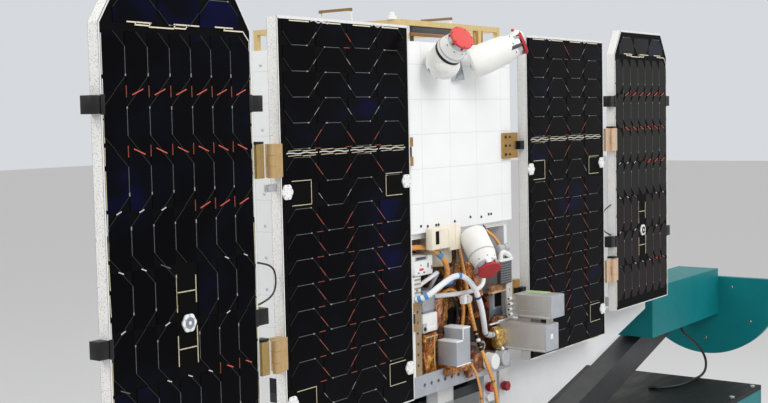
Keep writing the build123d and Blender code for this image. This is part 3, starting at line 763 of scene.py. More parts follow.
# Cords, along the routes that the CAD source gives them: name, radius, far end,
# how it lies, length, finish, slot, points
CORDS = (
    ("white_harness_1", 5.5, "connector", "hanging", 0.350, white_braid, "white_sleeve", (
        (-172, 18, 184), (-168, -2, 189), (-140, -10, 206), (-70, -8, 224), (-30, -15, 200),
        (-6, -18, 156), (14, -12, 112), (46, 6, 84), (83.8, 12, 80),
    )),
    ("white_harness_2", 4.5, "object", "hanging", 0.265, white_braid, "white_sleeve", (
        (-73.2, 62, 174), (-50, 32, 176), (-14, 8, 178), (30, 4, 182), (62, 16, 196), (80, 38, 236),
        (84, 52, 291.6),
    )),
    ("white_harness_3", 4.0, "object", "hanging", 0.194, white_braid, "white_sleeve", (
        (-162.3, 80, 172), (-140, 50, 196), (-110, 30, 216), (-78, 30, 226), (-58, 56, 206), (-50, 80, 172.8),
    )),
    ("amber_harness_1", 5.0, "object", "hanging", 0.195, amber_wrap, "amber_sleeve", (
        (-164.6, 42, 277), (-122, 34, 278), (-92, 22, 264), (-70, 16, 238), (-56, 26, 206), (-50, 62, 174.2),
    )),
    ("amber_harness_2", 4.0, "bare", "hanging", 0.639, amber_wrap, "amber_sleeve", (
        (32, 64, 291.7), (30, 50, 240), (25, 36, 190), (22, 26, 140), (14, 8, 96), (10, -8, 60),
        (20, -20, 20), (36, -24, -24), (50, -16, -70), (56, 4, -116), (50, 26, -160), (36, 60, -202),
        (18, 104, -221.8), (0, 152, -221.8),
    )),
    ("amber_harness_3", 2.5, "bare", "hanging", 0.398, amber_wrap, "amber_sleeve", (
        (-18.2, 8, 43), (-6, 3, 34), (-1, -5, 8), (4, -9, -26), (10, -6, -64), (12, 4, -104),
        (8, 22, -146), (-2, 50, -186), (-18, 88, -214), (-38, 130, -223.2), (-64, 172, -223.2),
    )),
    ("stand_cable", 3.5, "bare", "loose", 0.456, black_sleeve, "black_sleeve", (
        (1204, 88, -71.9), (1208, 86, -94), (1238, 74, -114), (1272, 60, -144), (1296, 50, -180),
        (1282, 44, -210), (1240, 42, -222.2), (1190, 46, -222.2), (1140, 43, -222.2), (1092, 48, -222.2),
        (1050, 74, -222.2), (1036, 108, -222.2),
    )),
)

# Short thin leads that stay tied at both ends: name, radius, body, length, finish, slot, points
LEADS = (
    ("amber_lead", 3.6, "root", 0.218, amber_wrap, "amber_sleeve", (
        (-40, 58, 170.2), (-32, 46, 184), (-14, 36, 180), (6, 34, 160), (13, 34, 138), (6, 34, 112),
        (12, 38, 80), (10, 50, 40), (8, 60, 12.2),
    )),
    ("black_lead", 3.0, "root", 0.217, black_sleeve, "black_sleeve", (
        (-37, 72, 170.2), (-30, 58, 190), (-20, 50, 182), (-5, 48, 163), (9, 47, 146), (9, 48, 118),
        (2, 52, 84), (-4, 60, 50), (-6, 66, 12.2),
    )),
    ("orange_lead", 3.4, "root", 0.081, amber_wrap, "amber_sleeve", (
        (84, 40, 304), (88, 32, 294), (98, 28, 285), (114, 26, 276), (130, 24, 262), (138, 24, 250),
    )),
    ("left_edge_wire", 1.5, "left_outer", 0.139, black_sleeve, "black_sleeve", (
        (-620.2, 12, 303), (-606, 10, 301), (-574, 8, 292), (-567, 8, 270), (-574, 8, 246),
        (-606, 10, 235), (-620.2, 12, 233),
    )),
    ("right_edge_wire", 1.5, "right_outer", 0.139, black_sleeve, "black_sleeve", (
        (620.2, 12, 303), (606, 10, 301), (574, 8, 292), (567, 8, 270), (574, 8, 246),
        (606, 10, 235), (620.2, 12, 233),
    )),
)


def lay(name, points, radius, finish, body):
    """A cord as an object along its route, riding on its body."""
    cord = bpy.data.objects.new(name, smooth_line(name, points, radius))
    bpy.context.scene.collection.objects.link(cord)
    cord.data.materials.append(finish.material)
    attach(cord, body)
    return cord


def centre_line(cord):
    """Points read from the cord's own smooth line, in millimetres of the satellite's reference."""
    bare = cord.data.copy()
    bare.bevel_depth = 0.0
    holder = bpy.data.objects.new("line", bare)
    mesh = bpy.data.meshes.new_from_object(holder)
    spots = [TO_ROW.inverted() @ vert.co for vert in mesh.vertices]
    bpy.data.objects.remove(holder)
    bpy.data.curves.remove(bare)
    bpy.data.meshes.remove(mesh)
    return spots


def tie(shape, line, share, radius, length, finish):
    """A strap round a cord at a share of its line."""
    index = min(len(line) - 2, int(share * (len(line) - 1)))
    along = (line[index + 1] - line[index]).normalized()
    half, flat, proud = length / 2, length / 2 - 0.6, radius + 0.7
    profile = ((-half, radius), (-flat, proud), (flat, proud), (half, radius))
    shape.lathe(line[index], along, profile, finish, 20)


# Straps on each cord: share of its line, length, finish
SPIRAL = tuple((0.3 + 0.011 * step, 6, white_plastic if step == 3 else black_metal) for step in range(7))
TIES = {
    "white_harness_1": (
        (0.03, 7, blue_tie), (0.08, 7, blue_tie), (0.37, 9, blue_tie), (0.6, 5, deep_blue_tie),
        (0.9, 8, grey_sleeve), (0.94, 10, silver), (0.975, 12, silver),
    ),
    "white_harness_2": ((0.42, 5, deep_blue_tie), (0.9, 8, blue_tie)),
    "white_harness_3": ((0.25, 6, white_plastic), (0.62, 7, blue_tie)),
    "amber_harness_1": ((0.2, 9, amber), (0.43, 12, blue_tie), (0.02, 6, brown_tape)),
    "amber_harness_2": ((0.16, 6, blue_tie),) + SPIRAL + ((0.5, 4, brown_tape), (0.99, 10, black_metal)),
    "amber_harness_3": ((0.3, 4, brown_tape), (0.985, 9, black_metal)),
    "stand_cable": ((0.02, 12, black_metal), (0.99, 16, black_metal)),
}

for name, radius, far_end, rests, length, finish, slot, points in CORDS:
    cord = lay(name + "_cord", points, radius, finish, "root")
    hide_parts(name)
    line = centre_line(cord)
    straps = Shape(name + "_ties")
    for share, strap_length, strap_finish in TIES[name]:
        tie(straps, line, share, radius, strap_length, strap_finish)
    straps = straps.done("root", slot=slot)
    at(*points[0])
    2 * radius * MM

for name, radius, body, length, finish, slot, points in LEADS:
    cord = lay(name, points, radius, finish, body)
    at(*points[0])
    2 * radius * MM

# Solar wings. Columns and rows are counted from a panel's left edge and from its top.
INNER_LEFTS = {"left": -560.5, "right": 209.5}
OUTER_LEFTS = {"left": -915.5, "right": 620.5}
INNER_W = 351.0
OUTER_W = 295.0
INNER_Z = (7.0, 681.0)
OUTER_Z = (52.0, 711.0)
CHAMFER = (35.0, 56.0)
CELL_L = 80.0
CELL_W = 40.0
CROP = 20.0
PITCH_L = 81.5
PITCH_W = 41.0
INNER_TOP = 677.9
BUS_TOP = 472.9
BUS_LOW = 460.0
ROWS_OVER_BUS = 5
ROWS_UNDER_BUS = 11
INNER_COLUMNS = 4
OUTER_TOP = 644.6
OUTER_ROWS = 7
OUTER_COLUMNS = 7
CUP_ROWS = (1, 9)
CUP_ZS = (69.0, 406.0)
OUTER_CUP_Z = 232.0

# Seats, brackets and tabs on the panels, in millimetres
CELL_LEAN = 0.004  # radians
TAB_Y = -1.1
TRIM_IN = 1.2
CUP_ASIDE = 14.0
BRACKET_ASIDE = (26.0, 74.0)
BRACKET_Z = (-22.5, 16.5)
CREST_Z = 675.5
OUTER_BUS_Z = 657.0
OUTER_BUS = (
    (50, 95, 0), (137, 187, 0), (219, 257, 0), (64, 90, 3.6), (90, 137, 5.6), (137, 160, 5), (237, 278, 4),
)
OUTER_BUS_STEPS = ((64, 3.6), (90, 5), (137, 5), (160, 5), (237, 4))
EDGE_DASHES_Z = (90.0, 640.0)
SEAT_LADDER_X = (-21.5, 16.5)
SEAT_LADDER_RUNGS = (278, 196)
OUTER_EDGES_X = (620.5, 915.5)
EARS_X = ((596.5, 620.5), (915.5, 933.5))
EAR_ZS = (205, 533)
EAR_H = 25
HINGE_CAP_X = (601.0, 620.4)
HINGE_CAP_ZS = (179.4, 483.4)


def cell(shape, x, z, half_x, half_z, narrow):
    """One cell round its middle, two corners cropped on its narrow side: up, down, left or right."""
    if narrow in ("up", "down"):
        flip = 1 if narrow == "up" else -1
        corners = [(-half_x, -half_z), (half_x, -half_z), (half_x, half_z - CROP)]
        corners += [(half_x - CROP, half_z), (CROP - half_x, half_z), (-half_x, half_z - CROP)]
        corners = [(a, flip * b) for a, b in corners]
    else:
        flip = 1 if narrow == "right" else -1
        corners = [(-half_x, half_z), (-half_x, -half_z), (half_x - CROP, -half_z)]
        corners += [(half_x, CROP - half_z), (half_x, half_z - CROP), (half_x - CROP, half_z)]
        corners = [(flip * a, b) for a, b in corners]
    lean = [Matrix.Rotation(chance.uniform(-CELL_LEAN, CELL_LEAN), 4, axis) for axis in "XZ"]
    turn = Matrix.Translation(Vector((x, 0, z))) @ (lean[0] @ lean[1])
    shape.prism(corners, -0.6, 0.3, cell_glass, turn=turn)
    return [(x + a, z + b) for a, b in corners]


def edges(lines, corners, right_end):
    """Painted glints of a cell's cover glass: a pale line on its narrow side, fainter ones along its crops; a
    dot at one end.
    """
    lines.strip(corners[3], corners[4], 0.9, pale_line_and_glint)
    lines.strip(corners[2], corners[3], 0.8, faint_edge_glint)
    lines.strip(corners[4], corners[5], 0.8, faint_edge_glint)
    spot, other = (corners[3], corners[4]) if right_end else (corners[4], corners[3])
    share = chance.uniform(0.06, 0.13)
    tip = tuple(a + (b - a) * share for a, b in zip(spot, other))
    lines.strip(spot, tip, 1.9, link_line, TAB_Y)


def wavy(lines, x0, x1, z, swing, finish, width, steps=14):
    """A wire that wanders up and down between two points."""
    spots = []
    for index in range(steps + 1):
        share = index / steps
        sway = swing * math.sin(share * math.pi * 4) * (0.4 + chance.random())
        spots.append((x0 + (x1 - x0) * share, z + sway))
    for start, end in zip(spots, spots[1:]):
        lines.strip(start, end, width, finish, -1.4)


def trim(shape, outline):
    """White tape along a panel's front edges, wider along the top."""
    top = max(z for x, z in outline)
    for start, end in zip(outline, outline[1:] + outline[:1]):
        width = 4.6 if start[1] == end[1] == top else 2.0
        shape.strip(start, end, width, white_trim, -0.8, 0.2)


def inner_wing(hand):
    body = hand + "_inner"
    left = INNER_LEFTS[hand]
    first = left + (INNER_W - INNER_COLUMNS * PITCH_L) / 2
    cells = Shape(hand + "_inner_cells")
    lines = Shape(hand + "_inner_wiring")
    rows = [("over", index, INNER_TOP - PITCH_W * index) for index in range(ROWS_OVER_BUS)]
    rows += [("under", index, BUS_LOW - PITCH_W * index) for index in range(ROWS_UNDER_BUS)]
    for part, index, top in rows:
        z = top - PITCH_W / 2
        for column in range(INNER_COLUMNS):
            x = first + PITCH_L * (column + 0.5)
            if part == "under" and index in CUP_ROWS and column in (0, INNER_COLUMNS - 1):
                continue
            narrow = "up" if (column % 2 == 1) == (part == "over") else "down"
            corners = cell(cells, x, z, CELL_L / 2, CELL_W / 2, narrow)
            edges(lines, corners, column % 2 == 0)
        for column in range(1, INNER_COLUMNS):
            x = first + PITCH_L * column
            rise = 1 if (column % 2 == 1) == (part == "over") else -1
            busy = (part == "under" and (index == 0 or 2 <= index <= 8)) or (part == "over" and index == 4)
            if part == "over" and index == 0 and column == 2:
                busy, rise = True, -1
            if busy:
                low, high = chance.uniform(-15, -9), chance.uniform(2, 11)
                finish, width = red_tab, 1.3
            else:
                low, high = -8, chance.uniform(-2, 6)
                finish, width = link_line, 1.0
            lines.strip((x + rise * low, z + low), (x + rise * high, z + high), width, finish, TAB_Y)
            if busy and (index != 0 or part == "over"):
                lines.strip((x - 9, top - PITCH_W), (x + 7, top - PITCH_W), 1.1, red_tab, TAB_Y)
    for column in range(INNER_COLUMNS):
        x = first + PITCH_L * (column + 0.5)
        for z in (BUS_TOP - 2.6, BUS_LOW + 2.4):
            lines.strip((x - 34, z), (x - 2, z + 0.8), 1.1, cream_line)
            lines.strip((x + 1, z - 0.6), (x + 34, z), 1.1, cream_line)
        wavy(lines, x - 38, x + 38, (BUS_TOP + BUS_LOW) / 2, 1.0, bright_line, 1.7)
        lines.strip((x - 24, INNER_TOP - 2.6), (x + 24, INNER_TOP - 2.6), 1.7, bus_line, -1.3)
        lines.strip((x - 22, INNER_Z[0] + 1.6), (x + 18, INNER_Z[0] + 1.6), 1.6, cream_line)
    for x0, x1 in ((70, 118), (232, 276)):
        wavy(lines, first + x0, first + x1, INNER_TOP - 1.6, 2.2, bright_line, 1.5, 10)
    cups = Shape(hand + "_inner_cups")
    for cup_z in CUP_ZS:
        low, high = (cup_z + rise for rise in BRACKET_Z)
        for sign, edge in ((1, left), (-1, left + INNER_W)):
            near, far = (edge + sign * aside for aside in BRACKET_ASIDE)
            for z in (low, high):
                lines.strip((near, z), (far, z), 1.2, cream_line)
            lines.strip((far, low), (far, high), 1.2, cream_line)
            cup(cups, edge + sign * CUP_ASIDE, cup_z, 13.0, white_plastic, white_plastic)
    z0, z1 = INNER_Z
    right = left + INNER_W
    trim(lines, inset([(left, z0), (right, z0), (right, z1), (left, z1)]))
    cells.done(body, slot="cell_black", sharp=20)
    lines.done(body, slot="cell_black")
    cups.done(body, [hand + "_inner_hold_downs"], "steel")


def inset(outline):
    """The outline drawn in towards its middle."""
    middle_x = sum(x for x, z in outline) / len(outline)
    middle_z = sum(z for x, z in outline) / len(outline)
    drawn = []
    for x, z in outline:
        drawn.append((x + math.copysign(TRIM_IN, middle_x - x), z + math.copysign(TRIM_IN, middle_z - z)))
    return drawn


def cup(shape, x, z, radius, ring, middle):
    """A hold-down seat: six lobes round a sunk ring, a small boss and six screws."""
    outline = []
    for index in range(48):
        angle = math.tau * index / 48
        reach = radius * (0.95 + 0.05 * math.cos(6 * angle))
        outline.append((x + reach * math.cos(angle), z + reach * math.sin(angle)))
    shape.prism(outline, -3.2, 0, ring, 0.7)
    well = ((0, radius * 0.62), (0.5, radius * 0.62), (0.9, radius * 0.54), (0.3, radius * 0.46), (0.3, TIP))
    shape.lathe((x, -3.0, z), FRONT, well, middle, 36)
    shape.disc(x, -4.0, -3.0, z, radius * 0.2, ring, 16)
    for index in range(6):
        angle = math.tau * (index + 0.5) / 6
        screw_x, screw_z = (radius * 0.76 * share for share in (math.cos(angle), math.sin(angle)))
        shape.disc(x + screw_x, -3.8, -3.0, z + screw_z, 1.2, silver, 10)


# Dashes on the outer panels' row lines: row line, first and last column, tilt, length, finish
DASHES = (
    (1, 2, 7, 1, 20, red_tab),
    (2, 2, 7, -1, 20, red_tab),
    (3, 5, 7, 1, 20, red_tab),
    (3, 1, 3, 1, 9, bright_line),
    (4, 1, 2, -1, 9, bright_line),
    (4, 3, 3, -1, 18, pale_line_and_glint),
    (4, 6, 7, -1, 8, bright_line),
    (5, 1, 1, 1, 8, bright_line),
    (5, 3, 3, 1, 9, bright_line),
    (5, 6, 6, 1, 7, bright_line),
    (6, 1, 1, -1, 16, pale_line_and_glint),
    (6, 3, 5, -1, 8, bright_line),
    (6, 6, 7, -1, 13, red_tab),
)


def outer_wing(hand):
    body = hand + "_outer"
    left = OUTER_LEFTS[hand]
    right = left + OUTER_W
    middle = left + OUTER_W / 2
    first = left + (OUTER_W - OUTER_COLUMNS * PITCH_W) / 2
    cells = Shape(hand + "_outer_cells")
    lines = Shape(hand + "_outer_wiring")
    for row in range(OUTER_ROWS):
        z = OUTER_TOP - PITCH_L * (row + 0.5)
        narrow = "right" if row % 2 == 0 else "left"
        for column in range(OUTER_COLUMNS):
            if column == OUTER_COLUMNS // 2 and row in (4, 5):
                continue
            x = first + PITCH_W * (column + 0.5)
            corners = cell(cells, x, z, CELL_W / 2, CELL_L / 2, narrow)
            edges(lines, corners, row % 2 == 0)
    for index in range(-1, 2):
        narrow = "down" if index == 0 else "up"
        corners = cell(cells, middle + PITCH_L * index, CREST_Z, CELL_L / 2, CELL_W / 2, narrow)
        edges(lines, corners, index > 0)
    for row, start, end, tilt, length, finish in DASHES:
        row_z = OUTER_TOP - PITCH_L * row
        z = row_z - 0.8
        rise = tilt * length * 0.2
        shown = rose_tab if finish is red_tab else finish
        for column in range(start, end + 1):
            side_x = first + PITCH_W * (column - 1)
            x = side_x + PITCH_W / 2
            lines.strip((x - length / 2, z - rise), (x + length / 2, z + rise), 1.4, shown, TAB_Y)
            if finish is red_tab:
                lines.strip((side_x, row_z - 8), (side_x, row_z + 8), 1.3, red_tab, TAB_Y)
    # Cream bus below the chamfers, with its return wires
    for x0, x1, drop in OUTER_BUS:
        z = OUTER_BUS_Z - drop
        lines.strip((left + x0, z), (left + x1, z - 0.4), 1.8, bus_line)
    for x, drop in OUTER_BUS_STEPS:
        lines.strip((left + x, OUTER_BUS_Z - drop), (left + x + 4, OUTER_BUS_Z), 1.4, bus_line)
    lines.strip((left + 278, OUTER_BUS_Z - 4), (left + 291.5, OUTER_BUS_Z - 19), 1.6, bus_line)
    for x in (left + 3.8, right - 3.8):
        lowest, top = EDGE_DASHES_Z
        while top > lowest:
            low = top - chance.uniform(24, 66)
            finish = cream_line if chance.random() < 0.6 else bright_line
            low_x, top_x = x + chance.uniform(-0.8, 0.8), x + chance.uniform(-0.8, 0.8)
            lines.strip((low_x, low), (top_x, top), 1.5, finish)
            top = low - chance.uniform(2, 9)
    # Cream ladder above and below the seat
    rails = [middle + aside for aside in SEAT_LADDER_X]
    for side_x, z_low, z_high in zip(rails, (250, 260), (304, 300)):
        lines.strip((side_x, z_low), (side_x, z_high), 1.6, cream_line)
        lines.strip((side_x, 172), (side_x, z_low - 34), 1.6, cream_line)
    for z in SEAT_LADDER_RUNGS:
        lines.strip((rails[0], z), (rails[1], z), 1.6, cream_line)
    z0, z1 = OUTER_Z
    wide, deep = CHAMFER
    trim(lines, inset([
        (left, z0), (right, z0), (right, z1 - deep), (right - wide, z1), (left + wide, z1), (left, z1 - deep),
    ]))
    cells.done(body, slot="cell_black", sharp=20)
    lines.done(body, slot="cell_black")
    seat = Shape(hand + "_outer_seat_and_ears")
    sign = -1 if hand == "left" else 1
    for reach, panel_x in zip(EARS_X, OUTER_EDGES_X):
        for z0 in EAR_ZS:
            low_x, high_x = sorted(sign * x for x in reach)
            seat.box(low_x, high_x, -0.4, 19.6, z0, z0 + EAR_H, black_metal, 0.8)
            edge_x = sign * panel_x
            lap = edge_x + math.copysign(7, middle - edge_x)
            seat.box(min(edge_x, lap), max(edge_x, lap), -1.2, 0.2, z0 - 1, z0 + EAR_H + 1, black_metal, 0.3)
    for z0 in HINGE_CAP_ZS:
        low_x, high_x = sorted(sign * x for x in HINGE_CAP_X)
        seat.box(low_x, high_x, -4, 13, z0, z0 + 4, black_metal, 0.6)
    cup(seat, middle, OUTER_CUP_Z, 14.0, white_plastic, blue_grey if hand == "left" else black_metal)
    seat.done(body, [hand + "_outer_fittings"], "steel")


for hand in ("left", "right"):
    inner_wing(hand)
    outer_wing(hand)


def dress(finish, *names):
    """Gives CAD nodes their finish."""
    for name in names:
        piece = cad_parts[name]
        piece.data.materials.clear()
        piece.data.materials.append(finish.material)


for hand in ("left", "right"):
    dress(board, hand + "_inner_panel", hand + "_outer_panel")
    dress(black_metal, hand + "_root_brackets")
    dress(hinge_gold, hand + "_inner_hinge_blocks", hand + "_outer_hinge_blocks")
dress(gold, "body_hinge_leaves")
dress(tiled_white, "front_panel", "side_panels", "rear_panel", "top_deck", "mid_deck")
dress(arm_paint, "support_arm")
dress(white, "clamp_plate")
dress(light_box, "bottom_deck")
dress(taped_post, "bay_posts")
dress(brown_film, "bay_back_wall")
dress(taped_bar, "bay_bar")
dress(pale_gold, "payload_frame")
dress(handle_paint, "lifting_handles")
dress(black_metal, "adapter_plate")
dress(knob_red, "knobs")
dress(teal, "box_beam", "head_plate", "deck_frame", "legs")
dress(dark_grey, "brace")
dress(deck_sheet, "deck_tray")
dress(rubber, "feet")

# Hinge details: screws in the gold leaves, a small bracket beside each panel's upper hinge
HINGE_ZS = (127.0, 431.0)
HINGE_H = 52.0
BODY_SIDE_X = 183.8
leaf_screws = Shape("leaf_screws")
for sign in (-1, 1):
    for hinge_z in HINGE_ZS:
        for share in (0.16, 0.5, 0.84):
            z = hinge_z + HINGE_H * share
            if sign > 0 and hinge_z == HINGE_ZS[1]:
                leaf_screws.disc(149, 12.8, 14.2, z, 3.0, black_metal, 16)
                leaf_screws.disc(165, 12.8, 14.2, z, 2.4, black_metal, 16)
            else:
                for y in (33, 48):
                    leaf_screws.peg((sign * BODY_SIDE_X, y, z), (sign, 0, 0), 0, 1.4, 3, black_metal, 16)
leaf_screws.done("root", slot="gold_metal")
for hand, sign in (("left", -1), ("right", 1)):
    stop = Shape(hand + "_edge_bracket")
    low_x, high_x = sorted((sign * 560.6, sign * 586))
    stop.box(low_x, high_x, 7, 12, 408, 420, silver, 0.8)
    stop.lathe((sign * 579, 7.2, 414), FRONT, ((0, 5), (2.4, 5), (3.4, 4), (3.4, TIP)), silver, 20)
    stop.done(hand + "_inner", slot="steel")

# Bay: boxes and housings. A box's row is x, y and z from low to high, its finish and rounding.
SCREW = ((0, 3), (1.3, 3), (1.8, 2), (1.8, TIP))
bay = Shape("bay_equipment")
# Grey box at the left, with its round connector
bay.boxes(
    (-126, -77, 40, 110, 148, 192, blue_grey, 2.0),
    (-120, -84, 39.2, 41, 153, 187, light_box, 0.5),
)
bay.lathe((-118, 40.5, 165), FRONT, ((0, 6.5), (2.2, 6.5), (2.2, 4.6), (0.8, 4.4), (0.8, TIP)), silver, 28)
bay.discs(((-123, 151), (-80, 151), (-123, 189), (-80, 189)), 38.8, 41, 1.5, black_metal, 12)
# Window box at the right
bay.boxes(
    (118, 166, 38, 120, 98, 158, blue_grey, 1.6),
    (128, 163, 37, 39, 122, 158, silver, 0.8),
    (134, 159, 36.4, 38, 127, 154, dark),
)
bay.discs(((122, 102), (122, 154), (150, 102), (134, 110), (163, 112)), 36.6, 39, 1.7, black_metal, 12)
bay.crumpled(116, 120, 40, 118, 99, 157, copper, 1.0, 0.1, 12)
bay.done("root", ["bay_boxes"], "bare_metal")

label = Shape("white_bay_boxes")
label.boxes(
    (-126, -77, 36, 100, 112, 148, white_plastic, 2.0),
    (-112, -84, 35, 37, 114, 124, white, 0.8),
    (-126.4, -114, 35.2, 37, 112, 131, grey_plastic, 0.8),
)
label.disc(-120.5, 34.6, 37, 120, 4.0, black_metal, 20)
label.boxes(
    (-166, -108, 23, 100, 225, 262, white_plastic, 3.0),
    (-166, -127, 21.8, 24, 254, 262, grey_plastic, 0.6),
    (-164.5, -134, 21.2, 24, 255.5, 260.5, glass, 0.4),
)
# Its sockets and switch: middle in x and z, half width, half height
for x, z, wide, high in (
    (-125, 243, 2.2, 4.2), (-113, 238, 1.6, 3.6), (-148, 245, 1.3, 1.3), (-138, 231, 2.6, 1.4),
    (-156, 231, 2.4, 1.2),
):
    label.box(x - wide, x + wide, 22.2, 24, z - high, z + high, grey_sleeve, 0.3)
label.box(-153, -140, 22.2, 24, 235, 239, salmon_cover, 0.3)
label.done("root", ["white_boxes"], "white_plastic")

cover = Shape("stepped_cover_box")
cover.prism([(-82, 46), (-34, 46), (-34, 117), (-60, 117), (-60, 94), (-82, 94)], -10, 33, light_box, 1.2)
# The white caps on the top and the ledge and the thin white strips at the step and lower edge are painted
# highlights
cover.boxes(
    (-60.6, -33.6, -10.6, 33.4, 114.4, 117.4, white, 0.5),
    (-61, -58.6, -11, -9, 95, 116, white, 0.3),
    (-82.8, -33.2, -11, -9, 45.4, 47.4, white, 0.3),
    (-82.6, -59.6, -10.6, 33.4, 91.4, 94.4, white, 0.5),
)
for z in range(52, 83, 6):
    cover.box(-34.4, -33.4, -6, 29, z, z + 1.4, grey_plastic, 0.2)
for z in (98, 104, 109):
    cover.box(-57, -37, -10.8, -9.8, z, z + 1.2, grey_plastic, 0.2)
cover.done("root", ["cover_box"], "bare_metal")

# Film bundles. A row is x, y and z from low to high, finish, depth, lumps and cuts.
wraps = Shape("amber_wraps")
for row in (
    (-128, -85, 30, 120, 12, 112, amber, 5.0),
    (-62, -32, 50, 110, 12, 170, copper, 5.0, 0.06, 12),
    (-26, 96, 75, 150, 12, 190, brown_film, 6.0, 0.05, 14),
    (120, 166, 23, 70, 12, 98, copper, 5.0),
    (-82, -20, -8, 48, 39.8, 46, amber, 1.2, 0.1, 8),
    (-82, -34, 26, 48, 12, 40, copper, 2.0),
    (-88, -4, 8, 16.4, 26, 40, amber, 2.0, 0.09, 14),
    (-13, 3, 9, 16.4, 8, 40, amber, 1.6, 0.1, 10),
    (22, 50, 16, 26, 10, 50, copper, 2.4, 0.1, 10),
    (50, 70, 18, 26, 12, 40, brown_tape, 2.4, 0.1, 10),
):
    wraps.crumpled(*row)
wraps.done("root", ["amber_bundles"], "copper_film")

cream_box = Shape("cream_housing")
cream_box.boxes(
    (-135, -68, 5, 20, 272, 312, cream, 1.6),
    (-68, -30, 10, 20, 265, 312, cream, 1.2),
    (-50, -49, 9.4, 10.4, 266, 311, drum_cream),
    (-123.6, -113, 4.2, 6, 282, 306.5, dark),
)
for x0, x1, z0, z1 in (
    (-109, -80, 273.5, 274.6), (-109, -80, 306.4, 307.4),
    (-109, -108, 273.5, 307.4), (-81, -80, 273.5, 307.4),
):
    cream_box.box(x0, x1, 4.5, 5.4, z0, z1, drum_cream)
front_screws = (
    (-100, 316), (-92, 316), (-128, 316), (-150, 318), (-36, 318), (20, 322), (60, 319), (88, 322), (97, 322),
)
cream_box.discs(front_screws, 18.9, 20, 2.6, black_metal, 14)
cream_box.done("root", ["cream_box"], "cream_plastic")

# Two housings in front of the bay
house = Shape("valve_blocks")
house.boxes(
    (112, 166, -92, 20, 48, 102, warm_silver, 1.6),
    (134, 192, -92, -5, 111, 157, warm_silver, 1.6),
    (136, 164, -82, -16, 101, 112, warm_silver, 0.6),
    (111.2, 112.4, -91, 19, 50, 53, bright_line, 0.3),
    (133.2, 134.4, -91, -6, 112.5, 116, bright_line, 0.3),
    (133.2, 134.4, -89, -8, 124, 125.4, grey_plastic, 0.3),
    (168, 192, -61, -9, 156.4, 157.8, green_tape, 0.3),
    (135.4, 137, -80, -46, 103, 109, grey_sleeve, 0.3),
    (135.2, 137, -81.5, -70, 103, 110, black_metal, 0.3),
    (112.6, 165.4, -93, -91.6, 48.6, 101.4, light_box, 0.8),
    (134.6, 191.4, -93, -91.6, 111.6, 156.4, light_box, 0.8),
    (132, 142, -93.6, -92.8, 72, 82, white_plastic, 0.4),
)
corners = ((117, 54), (161, 54), (117, 97), (161, 97), (139, 117), (187, 117), (139, 151), (187, 151))
house.discs(corners, -94.0, -92.8, 1.8, silver, 14)
for y, z in ((-2, 148), (-3, 137), (-2, 126), (-3, 116)):
    house.lathe((134, y, z), LEFT, ((0, 3.4), (7, 3.4), (8, 2.6), (8, TIP)), white_plastic, 16)
    house.peg((126, y, z), LEFT, 0, 3, 1.6, black_metal, 12)
house.box(112, 166, 14, 20, 98.6, 104, white_plastic, 0.8)
house.prism([(84, 101), (96, 115), (150, 109), (150, 96)], 16, 22, brown_film, 0.8)
house.box(78, 114, 13, 17, 99, 102, white_plastic, 0.6)
house.done("root", ["valve_housings"], "bare_metal")

plug = Shape("gold_connector")
grip = (
    (0, 12.0), (3, 13.0), (8, 13.0), (9, 11.4), (12, 11.4), (13, 13.0), (24, 13.0), (27, 11.0), (27, 8.4),
    (25, 8.0), (25, TIP),
)
collar = ((0, 11.6), (6, 12.6), (7, 10.6), (9, 10.6), (10, 12.4), (20, 12.4), (22, 9), (22, TIP))
plug.lathe((112, 12, 80), LEFT, grip, shiny_gold, 9)
plug.lathe((111.6, 10, 66), (-0.94, -0.1, -0.34), collar, shiny_gold, 7)
plug.lathe((104, 4, 52), (0, -0.4, -1), ((0, 6.0), (6, 6.6), (7, 5), (7, TIP)), silver, 18)
plug.lathe((90, 12, 80), LEFT, ((0, 8.5), (4.4, 8.5), (5, 7.5), (5, TIP)), grey_sleeve, 24)
for index in range(5):
    lean = math.tau * index / 5
    plug.peg((106, 12 + 12.4 * math.cos(lean), 80 + 12.4 * math.sin(lean)), LEFT, 0, 16, 1.9, pale_gold, 8)
ring = ((0, 5), (58, 5), (59, 10), (66, 10), (67, 9), (67, 6.4), (64, 6), (64, TIP))
plug.lathe((40, 75, 65), FRONT, ring, silver, 28)
# Black disc in the ring's mouth: painted shade of its hollow
plug.disc(40, 9.4, 11.2, 65, 5.6, black_metal, 20)
plug.done("root", ["gold_plug"], "gold_metal")

caps = Shape("bay_round_caps")
rim = ((0, 17.5), (2, 17.5), (3, 16.6), (15, 16.6), (18.6, 16.0), (20, 14.2), (20, TIP))
for x, finish in ((63, white_plastic), (104, grey_plastic)):
    caps.lathe((x, 12, 30.5), FRONT, rim, finish, 40)
    caps.lathe((x, 75, 30.5), FRONT, ((0, 13), (63, 13)), silver, 28)
caps.done("root", ["bay_caps"], "white_plastic")

# Film in front of the amber box, its hollow as a dark sheet of painted shade, and the small parts held in it
folds = Shape("bay_film_folds")
for row in (
    (-24, 84, 58, 76, 96, 226, brown_film, 7.0, 0.06, 20),
    (-24, 46, 66, 76, 13, 97, brown_film, 4.0, 0.06, 14),
    (12, 44, 26, 70, 12, 56, copper, 4.0, 0.08, 10),
    (60, 112, 52, 76, 108, 162, copper, 5.0, 0.08, 12),
    (44, 80, 48, 62, 196, 228, amber, 5.0, 0.09, 10),
    (46, 79, 28, 62, 158, 203, copper, 5.0, 0.08, 12),
    (46, 84, 50, 62, 162, 186, amber, 4.0, 0.09, 10),
    (-22, 8, 50, 62, 196, 224, copper, 4.0, 0.09, 10),
):
    folds.crumpled(*row)
hollow = [(-9, 139), (6, 143), (30, 137), (47, 128), (49, 108), (30, 101), (4, 103), (-8, 112)]
# Painted shade: a flat dark sheet where the film's hollow is
folds.prism(hollow, 56.4, 62, dark, 0.6)
folds.ribbon(((18, 54, 107), (24, 53, 118), (19, 53, 128), (23, 56, 140)), 10, copper, 0.7)
